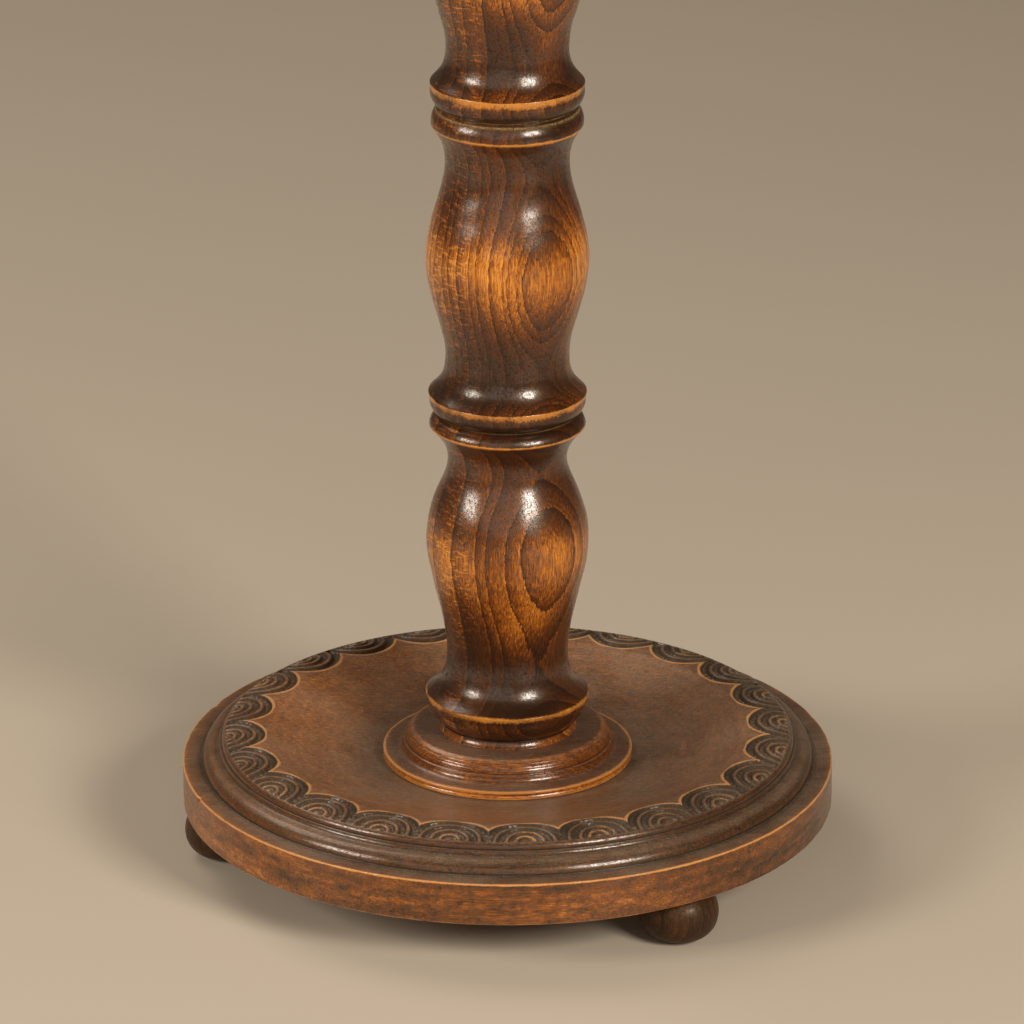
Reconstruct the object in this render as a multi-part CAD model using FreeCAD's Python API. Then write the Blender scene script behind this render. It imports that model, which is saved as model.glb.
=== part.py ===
"""Turned wooden floor candlestick, in millimetres, +Z up.

The origin is the middle of the floor area under the three feet. Every wooden piece is a turned
solid: three ball feet carry an edge-glued base disc, a collar sits in the dished top of the disc,
and four baluster sections, a capital, a drip dish and a candle nozzle stand on it. Loose dowels
join the pieces, and a coach screw under the disc pulls the lowest dowel down. The spun brass liner
in the nozzle lifts out.
"""
import FreeCAD
import Part
import math
import os
from FreeCAD import Vector

os.makedirs("parts", exist_ok=True)

# ---------------------------------------------------------------- driving dimensions, millimetres
GLUE_GAP = 0.05             # radial room for glue between a dowel and its bore
FLOOR = Vector(0, 0, 0)
UP = Vector(0, 0, 1)

# feet
FOOT_COUNT = 3
FOOT_FIRST_AZIMUTH = -54.2  # degrees from +X
FOOT_PITCH_RADIUS = 131.6
FOOT_RADIUS = 18.2
FOOT_HEIGHT = 24.5
FOOT_EQUATOR = 13.6         # height of the widest circle
FOOT_PAD_RADIUS = 7.0       # the flat that touches the floor
FOOT_LOW_INSET = 3.7        # how far the lower and upper curve points stand in from the equator
FOOT_LOW_SHARE = 0.28       # height of the lower one, as a share of the equator's height
FOOT_HIGH_INSET = 1.6
FOOT_HIGH_SHARE = 0.55      # height of the upper one, as a share of the way to the top
FOOT_NECK_RADIUS = 12.5     # where the foot meets the disc
FOOT_DOWEL_RADIUS = 5.0
FOOT_DOWEL_LENGTH = 26.0
FOOT_DOWEL_IN_FOOT = 13.0
FOOT_BORE_SPARE = 1.0       # room for glue beyond each end of a foot dowel

# base disc
BASE_RADIUS = 150.0
RIM_HEIGHT = 20.0
RIM_CHAMFER = 0.8
LEDGE_RADIUS = 141.2        # inner end of the flat ledge behind the rim
LEDGE_RISE = 0.3
OVOLO_RADIUS = 134.6        # top of the quarter-round
OVOLO_RISE = 6.2
OVOLO_BULGE = 1.9           # a bulge is how far the middle of an arc stands off its chord
COVE_RADIUS = 132.8
COVE_RISE = 8.8
COVE_BULGE = 0.5
GROOVE_RADIUS = 132.1
GROOVE_RISE = 8.4
BEAD_BULGE = 0.9
BAND_OUTER_RADIUS = 129.6   # the band that carries the carving
BAND_OUTER_RISE = 12.4
BAND_CROWN_RADIUS = 120.5
BAND_CROWN_RISE = 13.4
BAND_INNER_RADIUS = 111.4
BAND_INNER_RISE = 13.1
DISH_RADIUS = 60.0          # flat seat of the collar
DISH_RISE = 0.9
DISH_BULGE = 1.6            # how far the field dips under its chord
FRONT_SEAM_Y = -104.0       # glue lines between the three boards, along X
REAR_SEAM_Y = 40.0

# collar
COLLAR_RADIUS = 57.5
COLLAR_EDGE = 4.2           # thickness of the outer flange
COLLAR_EDGE_ROUND = 0.9
COLLAR_EDGE_BULGE = 0.3
COLLAR_FLAT_RADIUS = 50.5   # inner end of the flange's top
COLLAR_FLAT_RISE = 4.4
COLLAR_COVE_RADIUS = 48.2   # top of the cove
COLLAR_COVE_RISE = 7.9
COLLAR_COVE_BULGE = 0.7
COLLAR_STEP_RADIUS = 47.3   # inner end of the small step above the cove
COLLAR_STEP_RISE = 8.3
COLLAR_OVOLO_BULGE = 1.3
COLLAR_TOP_RADIUS = 43.0
COLLAR_HEIGHT = 14.3

# dowels between the turned sections
DOWEL_RADIUS = 11.0
DOWEL_HALF = 28.0           # length in each of the two pieces
DOWEL_CHAMFER = 1.0
BORE_SPARE = 2.0            # room for glue at the end of a bore

# lowest dowel and the screw that holds it
BASE_DOWEL_IN_SECTION = 34.0
SCREW_RADIUS = 3.0
SCREW_LENGTH = 45.0
SCREW_HEAD_ACROSS = 10.0
SCREW_HEAD_HEIGHT = 4.0
SCREW_POINT_LENGTH = 4.0
SCREW_TIP_RADIUS = 0.6
WASHER_RADIUS = 15.0
WASHER_THICKNESS = 2.0
WASHER_CLEARANCE = 0.25

# baluster sections, each from its own bottom face
SECTION_SEAT_RADIUS = 31.0
FOOT_NECK_BULGE = 0.4
LOWER_RING_BULGE = 1.5
UPPER_RING_BULGE = 1.2
SECTION_ONE = dict(
    length=154.0, foot_radius=32.0, foot_neck=(30.2, 3.6),
    ring_low=(37.5, 15.8), ring_high=(37.9, 17.4),
    flare=(31.2, 23.6), low_neck=(28.3, 31.5), neck_end=(28.3, 44.5), rise=(32.4, 65.2),
    belly=(37.2, 95.5), fall=(32.6, 115.2), high_neck=(27.3, 132.4), cup=(30.3, 141.6),
    top_ring=(35.8, 148.2))
SECTION_TWO = dict(
    length=146.4, foot_radius=31.0, foot_neck=None,
    ring_low=(35.8, 7.6), ring_high=(36.2, 9.9),
    flare=(30.6, 16.4), low_neck=(28.3, 25.6), neck_end=(28.4, 31.0), rise=(32.5, 49.0),
    belly=(37.1, 73.6), fall=(32.3, 99.4), high_neck=(28.2, 121.6), cup=(30.6, 131.2),
    top_ring=(34.5, 137.2))
SECTION_THREE = dict(SECTION_TWO, ring_low=(34.6, 7.8), ring_high=(34.9, 10.6), flare=(30.0, 16.8),
                     low_neck=(27.8, 25.8), neck_end=(27.9, 31.0), belly=(36.7, 73.6),
                     top_ring=(34.2, 137.2))
SECTION_FOUR = dict(SECTION_THREE, ring_low=(34.2, 7.8), ring_high=(34.5, 10.4), belly=(36.3, 73.6),
                    top_ring=(33.8, 137.2))

# head: capital, drip dish, nozzle and liner
CAPITAL_HEIGHT = 78.0
CAPITAL_RING_LOW = (33.8, 7.8)
CAPITAL_RING_HIGH = (34.1, 10.2)
CAPITAL_NECK = ((29.4, 17.0), (26.8, 27.0), (27.6, 38.0), (33.0, 52.0))
CAPITAL_LIP_LOW = (41.0, 69.0)
CAPITAL_LIP_HIGH = (41.0, 72.0)
CAPITAL_LIP_BULGE = 1.6
CAPITAL_SEAT_RADIUS = 35.0
DISH_FLOOR = 9.0            # thickness of wood under the hollow of the drip dish
DISH_FOOT_RADIUS = 35.0
DISH_UNDERSIDE = (56.0, 5.5)
DISH_EDGE_LOW = (66.0, 12.5)
DISH_EDGE_HIGH = (65.4, 17.0)
DISH_EDGE_BULGE = 0.9
DISH_LIP = (62.0, 17.0)
DISH_LIP_BULGE = 0.7
DISH_HOLLOW_RADIUS = 50.0
DISH_HOLLOW_BULGE = 1.6
NOZZLE_HEIGHT = 44.0
NOZZLE_FOOT_RADIUS = 33.0
NOZZLE_FOOT_RING = (33.0, 3.0)
NOZZLE_WAIST = ((28.6, 7.0), (27.0, 14.0), (28.8, 27.0), (31.5, 37.0))
NOZZLE_MOUTH_RADIUS = 30.7
NOZZLE_MOUTH_BULGE = 1.2
NOZZLE_TENON_LENGTH = 26.0
LINER_BORE_RADIUS = 20.5    # takes a 40 mm candle
LINER_WALL = 0.8
LINER_DEPTH = 32.0
LINER_FLANGE_RADIUS = 29.0
LINER_FLANGE_THICKNESS = 1.2
LINER_FLANGE_ROUND = 0.5
LINER_CLEARANCE = 0.3       # round the cup
LINER_SEAT_GAP = 0.05       # under the flange
LINER_POCKET_SPARE = 1.0    # under the cup

BASE_BOTTOM = FOOT_HEIGHT
RIM_TOP = BASE_BOTTOM + RIM_HEIGHT
COLLAR_BOTTOM = RIM_TOP + DISH_RISE
COLUMN_BOTTOM = COLLAR_BOTTOM + COLLAR_HEIGHT


# ---------------------------------------------------------------- drawing helpers
def rz(point, bottom=0.0):
    """A (radius, height) pair as a point of the XZ plane."""
    return Vector(point[0], 0, point[1] + bottom)


def line(start, end):
    return Part.LineSegment(start, end).toShape()


def polyline(points):
    return [line(a, b) for a, b in zip(points, points[1:])]


def arc(start, middle, end):
    return Part.Arc(start, middle, end).toShape()


def bulge(start, end, height):
    """An arc between two points whose middle stands off the chord by height, to its left."""
    chord = end - start
    normal = Vector(-chord.z, 0, chord.x).normalize()
    return arc(start, (start + end) * 0.5 + normal * height, end)


def smooth(points):
    """One smooth curve through the points."""
    curve = Part.BSplineCurve()
    curve.interpolate(points)
    return curve.toShape()


def turned(edges):
    """The solid swept by a closed outline of the XZ plane about the Z axis."""
    face = Part.Face(Part.Wire(edges))
    solid = face.revolve(FLOOR, UP, 360)
    if solid.Volume < 0:
        solid.reverse()
    return solid


def rod(radius, bottom, length, x=0.0, y=0.0):
    return Part.makeCylinder(radius, length, Vector(x, y, bottom))


def dowel(radius, bottom, length, x=0.0, y=0.0):
    """A dowel pin with both ends chamfered."""
    pin = rod(radius, bottom, length, x, y)
    rims = [e for e in pin.Edges if abs(e.Length - 2 * math.pi * radius) < 1e-6]
    return pin.makeChamfer(DOWEL_CHAMFER, rims)


def save(name, shape):
    shape.exportStep(f"parts/{name}.step")
    print(f"{name:24s} volume {shape.Volume / 1000:9.2f} cm3  valid {shape.isValid()}  "
          f"solids {len(shape.Solids)}")


# ---------------------------------------------------------------- feet
def foot_places():
    step = 360.0 / FOOT_COUNT
    for index in range(FOOT_COUNT):
        angle = math.radians(FOOT_FIRST_AZIMUTH + index * step)
        yield FOOT_PITCH_RADIUS * math.cos(angle), FOOT_PITCH_RADIUS * math.sin(angle)


def ball_foot():
    """A flattened ball with a flat pad below and a bore for its dowel above."""
    pad = Vector(FOOT_PAD_RADIUS, 0, 0)
    equator = Vector(FOOT_RADIUS, 0, FOOT_EQUATOR)
    neck = Vector(FOOT_NECK_RADIUS, 0, FOOT_HEIGHT)
    low = Vector(FOOT_RADIUS - FOOT_LOW_INSET, 0, FOOT_EQUATOR * FOOT_LOW_SHARE)
    above = (FOOT_HEIGHT - FOOT_EQUATOR) * FOOT_HIGH_SHARE
    high = Vector(FOOT_RADIUS - FOOT_HIGH_INSET, 0, FOOT_EQUATOR + above)
    body = turned([line(FLOOR, pad), smooth([pad, low, equator, high, neck]),
                   line(neck, Vector(0, 0, FOOT_HEIGHT)), line(Vector(0, 0, FOOT_HEIGHT), FLOOR)])
    depth = FOOT_DOWEL_IN_FOOT + FOOT_BORE_SPARE
    return body.cut(rod(FOOT_DOWEL_RADIUS + GLUE_GAP, FOOT_HEIGHT - depth, depth))


def build_feet():
    names = ("front_right", "back", "left")
    foot = ball_foot()
    for name, (x, y) in zip(names, foot_places()):
        placed = foot.copy()
        placed.translate(Vector(x, y, 0))
        save(f"foot_{name}", placed)
        bottom = FOOT_HEIGHT - FOOT_DOWEL_IN_FOOT
        save(f"foot_dowel_{name}", dowel(FOOT_DOWEL_RADIUS, bottom, FOOT_DOWEL_LENGTH, x, y))


# ---------------------------------------------------------------- base disc
def base_blank():
    """The whole turned disc before it is divided into its boards."""
    top = RIM_TOP
    centre_low = Vector(0, 0, BASE_BOTTOM)
    rim_low_in = rz((BASE_RADIUS - RIM_CHAMFER, BASE_BOTTOM))
    rim_low = rz((BASE_RADIUS, BASE_BOTTOM + RIM_CHAMFER))
    rim_high = rz((BASE_RADIUS, top))
    ledge = rz((LEDGE_RADIUS, LEDGE_RISE), top)
    ovolo = rz((OVOLO_RADIUS, OVOLO_RISE), top)
    cove = rz((COVE_RADIUS, COVE_RISE), top)
    groove = rz((GROOVE_RADIUS, GROOVE_RISE), top)
    band_out = rz((BAND_OUTER_RADIUS, BAND_OUTER_RISE), top)
    crown = rz((BAND_CROWN_RADIUS, BAND_CROWN_RISE), top)
    band_in = rz((BAND_INNER_RADIUS, BAND_INNER_RISE), top)
    seat_out = rz((DISH_RADIUS, DISH_RISE), top)
    seat = Vector(0, 0, top + DISH_RISE)
    edges = polyline([centre_low, rim_low_in, rim_low, rim_high, ledge])
    edges.append(bulge(ledge, ovolo, -OVOLO_BULGE))
    edges.append(bulge(ovolo, cove, COVE_BULGE))
    edges.append(line(cove, groove))
    edges.append(bulge(groove, band_out, -BEAD_BULGE))
    edges.append(arc(band_out, crown, band_in))
    edges.append(bulge(band_in, seat_out, DISH_BULGE))
    edges += polyline([seat_out, seat, centre_low])
    return turned(edges)


def build_base():
    """Three boards glued edge to edge, with the centre bore and the bores for the foot dowels."""
    disc = base_blank()
    disc = disc.cut(rod(DOWEL_RADIUS + GLUE_GAP, BASE_BOTTOM - 1, RIM_HEIGHT + 20))
    depth = FOOT_DOWEL_LENGTH - FOOT_DOWEL_IN_FOOT + FOOT_BORE_SPARE
    for x, y in foot_places():
        disc = disc.cut(rod(FOOT_DOWEL_RADIUS + GLUE_GAP, BASE_BOTTOM, depth, x, y))
    span = 2 * BASE_RADIUS + 20
    boards = (("base_board_front", -span / 2, FRONT_SEAM_Y),
              ("base_board_middle", FRONT_SEAM_Y, REAR_SEAM_Y),
              ("base_board_rear", REAR_SEAM_Y, span / 2))
    for name, near, far in boards:
        slab = Part.makeBox(span, far - near, 100, Vector(-span / 2, near, 0))
        save(name, disc.common(slab))


# ---------------------------------------------------------------- collar
def build_collar():
    """Flat flange with a rounded edge, a cove, an ovolo and a flat top."""
    low = rz((COLLAR_RADIUS - COLLAR_EDGE_ROUND, 0), COLLAR_BOTTOM)
    edge_low = rz((COLLAR_RADIUS, COLLAR_EDGE_ROUND), COLLAR_BOTTOM)
    edge_high = rz((COLLAR_RADIUS, COLLAR_EDGE), COLLAR_BOTTOM)
    flat = rz((COLLAR_FLAT_RADIUS, COLLAR_FLAT_RISE), COLLAR_BOTTOM)
    cove = rz((COLLAR_COVE_RADIUS, COLLAR_COVE_RISE), COLLAR_BOTTOM)
    step = rz((COLLAR_STEP_RADIUS, COLLAR_STEP_RISE), COLLAR_BOTTOM)
    top = rz((COLLAR_TOP_RADIUS, COLLAR_HEIGHT), COLLAR_BOTTOM)
    middle_low = Vector(0, 0, COLLAR_BOTTOM)
    middle_high = Vector(0, 0, COLLAR_BOTTOM + COLLAR_HEIGHT)
    collar = turned([
        line(middle_low, low), bulge(low, edge_low, -COLLAR_EDGE_BULGE), line(edge_low, edge_high),
        line(edge_high, flat), bulge(flat, cove, COLLAR_COVE_BULGE), line(cove, step),
        bulge(step, top, -COLLAR_OVOLO_BULGE), line(top, middle_high),
        line(middle_high, middle_low)])
    bore = rod(DOWEL_RADIUS + GLUE_GAP, COLLAR_BOTTOM - 1, COLLAR_HEIGHT + 2)
    save("collar", collar.cut(bore))


# ---------------------------------------------------------------- column
def section(shape, bottom, low_bore, high_bore):
    """One baluster: ring, neck, belly, neck and ring, bored at both ends for the dowels."""
    def at(key):
        return rz(shape[key], bottom)

    foot = rz((shape["foot_radius"], 0), bottom)
    top = rz((SECTION_SEAT_RADIUS, shape["length"]), bottom)
    edges = [line(Vector(0, 0, bottom), foot)]
    start = foot
    if shape["foot_neck"]:
        start = at("foot_neck")
        edges.append(bulge(foot, start, FOOT_NECK_BULGE))
    edges.append(bulge(start, at("ring_low"), -LOWER_RING_BULGE))
    edges.append(line(at("ring_low"), at("ring_high")))
    edges.append(smooth([at(key) for key in (
        "ring_high", "flare", "low_neck", "neck_end", "rise", "belly", "fall", "high_neck", "cup",
        "top_ring")]))
    edges.append(bulge(at("top_ring"), top, -UPPER_RING_BULGE))
    edges += polyline([top, Vector(0, 0, bottom + shape["length"]), Vector(0, 0, bottom)])
    solid = turned(edges)
    radius = DOWEL_RADIUS + GLUE_GAP
    solid = solid.cut(rod(radius, bottom, low_bore))
    return solid.cut(rod(radius, bottom + shape["length"] - high_bore, high_bore))


def build_column():
    """Stacks the four sections and returns the height of the top face."""
    bottom = COLUMN_BOTTOM
    shapes = (SECTION_ONE, SECTION_TWO, SECTION_THREE, SECTION_FOUR)
    bore = DOWEL_HALF + BORE_SPARE
    for number, shape in enumerate(shapes, start=1):
        low_bore = BASE_DOWEL_IN_SECTION + BORE_SPARE if number == 1 else bore
        save(f"column_section_{number}", section(shape, bottom, low_bore, bore))
        bottom += shape["length"]
        save(f"joint_dowel_{number}", dowel(DOWEL_RADIUS, bottom - DOWEL_HALF, 2 * DOWEL_HALF))
    return bottom


def build_base_fixing():
    """The dowel through the disc and collar, and the coach screw and washer under it."""
    length = COLUMN_BOTTOM + BASE_DOWEL_IN_SECTION - BASE_BOTTOM
    pin = dowel(DOWEL_RADIUS, BASE_BOTTOM, length)
    pilot = rod(SCREW_RADIUS + GLUE_GAP, BASE_BOTTOM, SCREW_LENGTH)
    save("base_dowel", pin.cut(pilot))
    washer_bottom = BASE_BOTTOM - WASHER_THICKNESS
    washer = rod(WASHER_RADIUS, washer_bottom, WASHER_THICKNESS)
    washer = washer.cut(rod(SCREW_RADIUS + WASHER_CLEARANCE, washer_bottom, WASHER_THICKNESS))
    save("washer", washer)
    corner_radius = SCREW_HEAD_ACROSS / math.sqrt(3)
    corners = [Vector(corner_radius * math.cos(k * math.pi / 3),
                      corner_radius * math.sin(k * math.pi / 3),
                      washer_bottom - SCREW_HEAD_HEIGHT) for k in range(7)]
    head = Part.Face(Part.makePolygon(corners)).extrude(UP * SCREW_HEAD_HEIGHT)
    straight = SCREW_LENGTH - SCREW_POINT_LENGTH
    shank = rod(SCREW_RADIUS, washer_bottom, WASHER_THICKNESS + straight)
    point = Part.makeCone(SCREW_RADIUS, SCREW_TIP_RADIUS, SCREW_POINT_LENGTH,
                          Vector(0, 0, BASE_BOTTOM + straight))
    save("coach_screw", head.fuse(shank).fuse(point).removeSplitter())


# ---------------------------------------------------------------- head
def build_capital(bottom):
    """A ring and neck like the sections below, opening into a wide cup with a flat top."""
    top = bottom + CAPITAL_HEIGHT
    foot = rz((SECTION_SEAT_RADIUS, 0), bottom)
    ring_low = rz(CAPITAL_RING_LOW, bottom)
    ring_high = rz(CAPITAL_RING_HIGH, bottom)
    lip_low = rz(CAPITAL_LIP_LOW, bottom)
    lip_high = rz(CAPITAL_LIP_HIGH, bottom)
    neck = [rz(point, bottom) for point in CAPITAL_NECK]
    seat = Vector(CAPITAL_SEAT_RADIUS, 0, top)
    middle_low = Vector(0, 0, bottom)
    middle_high = Vector(0, 0, top)
    body = turned([
        line(middle_low, foot), bulge(foot, ring_low, -LOWER_RING_BULGE), line(ring_low, ring_high),
        smooth([ring_high, *neck, lip_low]), line(lip_low, lip_high),
        bulge(lip_high, seat, -CAPITAL_LIP_BULGE), line(seat, middle_high),
        line(middle_high, middle_low)])
    body = body.cut(rod(DOWEL_RADIUS + GLUE_GAP, bottom, DOWEL_HALF + BORE_SPARE))
    depth = NOZZLE_TENON_LENGTH - DISH_FLOOR + BORE_SPARE
    body = body.cut(rod(DOWEL_RADIUS + GLUE_GAP, top - depth, depth))
    save("capital", body)
    return top


def build_drip_dish(bottom):
    """A turned saucer that catches the wax."""
    foot = rz((DISH_FOOT_RADIUS, 0), bottom)
    underside = rz(DISH_UNDERSIDE, bottom)
    edge_low = rz(DISH_EDGE_LOW, bottom)
    edge_high = rz(DISH_EDGE_HIGH, bottom)
    lip = rz(DISH_LIP, bottom)
    hollow = rz((DISH_HOLLOW_RADIUS, DISH_FLOOR), bottom)
    middle_low = Vector(0, 0, bottom)
    middle_high = Vector(0, 0, bottom + DISH_FLOOR)
    dish = turned([
        line(middle_low, foot), smooth([foot, underside, edge_low]),
        bulge(edge_low, edge_high, -DISH_EDGE_BULGE), bulge(edge_high, lip, -DISH_LIP_BULGE),
        bulge(lip, hollow, DISH_HOLLOW_BULGE), line(hollow, middle_high),
        line(middle_high, middle_low)])
    save("drip_dish", dish.cut(rod(DOWEL_RADIUS + GLUE_GAP, bottom - 1, DISH_FLOOR + 2)))
    return bottom + DISH_FLOOR


def build_nozzle(bottom):
    """The wooden candle nozzle, with a tenon through the dish into the capital."""
    mouth = bottom + NOZZLE_HEIGHT
    foot = rz((NOZZLE_FOOT_RADIUS, 0), bottom)
    foot_ring = rz(NOZZLE_FOOT_RING, bottom)
    waist = [rz(point, bottom) for point in NOZZLE_WAIST]
    lip = Vector(NOZZLE_MOUTH_RADIUS, 0, mouth)
    middle_low = Vector(0, 0, bottom)
    middle_high = Vector(0, 0, mouth)
    body = turned([
        line(middle_low, foot), line(foot, foot_ring), smooth([foot_ring, *waist]),
        bulge(waist[-1], lip, -NOZZLE_MOUTH_BULGE), line(lip, middle_high),
        line(middle_high, middle_low)])
    body = body.fuse(rod(DOWEL_RADIUS, bottom - NOZZLE_TENON_LENGTH, NOZZLE_TENON_LENGTH + 1))
    pocket = LINER_DEPTH + LINER_WALL + LINER_POCKET_SPARE
    body = body.cut(rod(LINER_BORE_RADIUS + LINER_WALL + LINER_CLEARANCE, mouth - pocket, pocket))
    save("candle_nozzle", body.removeSplitter())
    return mouth


def build_liner(mouth):
    """The spun brass cup: a tube with a floor and a flange that rests on the nozzle."""
    bottom = mouth - LINER_DEPTH - LINER_WALL
    rest = mouth + LINER_SEAT_GAP
    flange_top = rest + LINER_FLANGE_THICKNESS
    cup = rod(LINER_BORE_RADIUS + LINER_WALL, bottom, flange_top - bottom)
    flange = rod(LINER_FLANGE_RADIUS, rest, LINER_FLANGE_THICKNESS)
    hollow = rod(LINER_BORE_RADIUS, bottom + LINER_WALL, flange_top - bottom)
    liner = cup.fuse(flange).removeSplitter().cut(hollow)
    edges = [e for e in liner.Edges if abs(e.Length - 2 * math.pi * LINER_FLANGE_RADIUS) < 1e-6]
    save("brass_liner", liner.makeFillet(LINER_FLANGE_ROUND, edges))


build_feet()
build_base()
build_collar()
build_base_fixing()
column_top = build_column()
dish_bottom = build_capital(column_top)
nozzle_bottom = build_drip_dish(dish_bottom)
nozzle_mouth = build_nozzle(nozzle_bottom)
build_liner(nozzle_mouth)
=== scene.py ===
"""Looks of a turned wooden floor candlestick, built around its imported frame.

The outlines below are in millimetres, as a turner would mark them out, and become metres when a
mesh is made. Heights come from the frame's own boxes.
"""
import logging
import math
from dataclasses import dataclass, field
from enum import Enum
from typing import Callable, Sequence

import bmesh
import bpy
import numpy as np
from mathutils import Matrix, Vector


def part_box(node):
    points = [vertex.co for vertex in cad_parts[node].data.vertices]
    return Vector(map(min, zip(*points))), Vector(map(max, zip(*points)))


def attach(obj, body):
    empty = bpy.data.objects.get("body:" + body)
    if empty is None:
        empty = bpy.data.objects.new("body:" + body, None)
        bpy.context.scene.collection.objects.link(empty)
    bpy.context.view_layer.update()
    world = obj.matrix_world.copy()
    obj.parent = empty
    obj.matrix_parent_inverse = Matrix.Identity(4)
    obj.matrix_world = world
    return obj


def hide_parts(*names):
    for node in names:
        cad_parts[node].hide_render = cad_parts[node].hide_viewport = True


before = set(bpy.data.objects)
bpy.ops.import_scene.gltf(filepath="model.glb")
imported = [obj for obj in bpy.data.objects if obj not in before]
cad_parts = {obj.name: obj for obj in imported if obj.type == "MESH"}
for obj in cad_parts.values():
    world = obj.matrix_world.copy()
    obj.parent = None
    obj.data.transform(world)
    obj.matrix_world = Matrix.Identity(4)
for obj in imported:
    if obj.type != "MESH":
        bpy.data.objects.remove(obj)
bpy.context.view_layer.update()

MM = 0.001
STAND = "stand"
LINER = "liner"
ON_AXIS = 1e-6                  # radius below which an outline starts on the axis, in mm
TURN_PER_ROW = math.radians(9)  # most that an outline bends between two rows
LONGEST_ROW = 1.5               # most that two rows lie apart, in mm
BEND_WINDOW = 0.8               # half the length over which an outline's bend is averaged, in mm
STREAK_HEIGHT = 1.4             # mm
STREAK_ROWS = 40
DOWEL_BORE = 11.05              # radius of every bore along the column, in mm
STAIN_SHEEN = 0.3               # specular level of stained wood under its polish
SHEEN_TINT = (1.0, 0.72, 0.45, 1.0)
POLISH_ROUGHNESS = 0.20
POLISH_IOR = 1.6

Colour = tuple[float, float, float]
Point = tuple[float, float]
Feed = bpy.types.NodeSocket | float | tuple[float, ...]
Relief = Callable[[np.ndarray, np.ndarray, np.ndarray], tuple[np.ndarray, np.ndarray]]
log = logging.getLogger("candlestick")


class Paint(Enum):
    """The per-vertex masks that the wood finishes read."""

    STAIN = "stain"
    WORN = "worn"
    WAX = "wax"
    # Hollows of the outlines, made darker; in the carving's gouges this mask carries painted shade.
    CUT_AND_SHADE = "cut"


class GrainAxis(Enum):
    """Which way the fibres run in a piece."""

    UP = "up"
    ALONG_X = "along_x"


# ------------------------------------------------------------------------------ outlines
def soft_step(value: np.ndarray, low: float, high: float) -> np.ndarray:
    """A smooth step between two values, which may be in either order.

    Args:
        value: where to look.
        low: the value below which the step is 0.
        high: the value above which it is 1.

    Returns:
        The step, 0 to 1.
    """
    t = np.clip((value - low) / (high - low), 0.0, 1.0)
    return t * t * (3.0 - 2.0 * t)


def natural_spline(knots: np.ndarray, spacing: float) -> np.ndarray:
    """Samples a smooth curve through the knots.

    Args:
        knots: (n, 2) radius and height of each knot.
        spacing: distance between samples.

    Returns:
        (m, 2) points along the curve, with both ends.
    """
    length = np.concatenate([[0.0], np.cumsum(np.hypot(*np.diff(knots, axis=0).T))])
    gap = np.diff(length)
    count = len(knots)
    system = np.eye(count)
    right = np.zeros((count, 2))
    slope = np.diff(knots, axis=0) / gap[:, None]
    for i in range(1, count - 1):
        system[i, i - 1:i + 2] = gap[i - 1], 2 * (gap[i - 1] + gap[i]), gap[i]
        right[i] = 6 * (slope[i] - slope[i - 1])
    bend = np.linalg.solve(system, right)
    at = np.linspace(0, length[-1], max(3, int(length[-1] / spacing)))
    span = np.clip(np.searchsorted(length, at, side="right") - 1, 0, count - 2)
    width = gap[span][:, None]
    ahead = (length[span + 1] - at)[:, None]
    behind = (at - length[span])[:, None]
    first, last = bend[span], bend[span + 1]
    return (first * ahead**3 + last * behind**3) / (6 * width) + (
        knots[span] / width - first * width / 6) * ahead + (
        knots[span + 1] / width - last * width / 6) * behind


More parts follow.
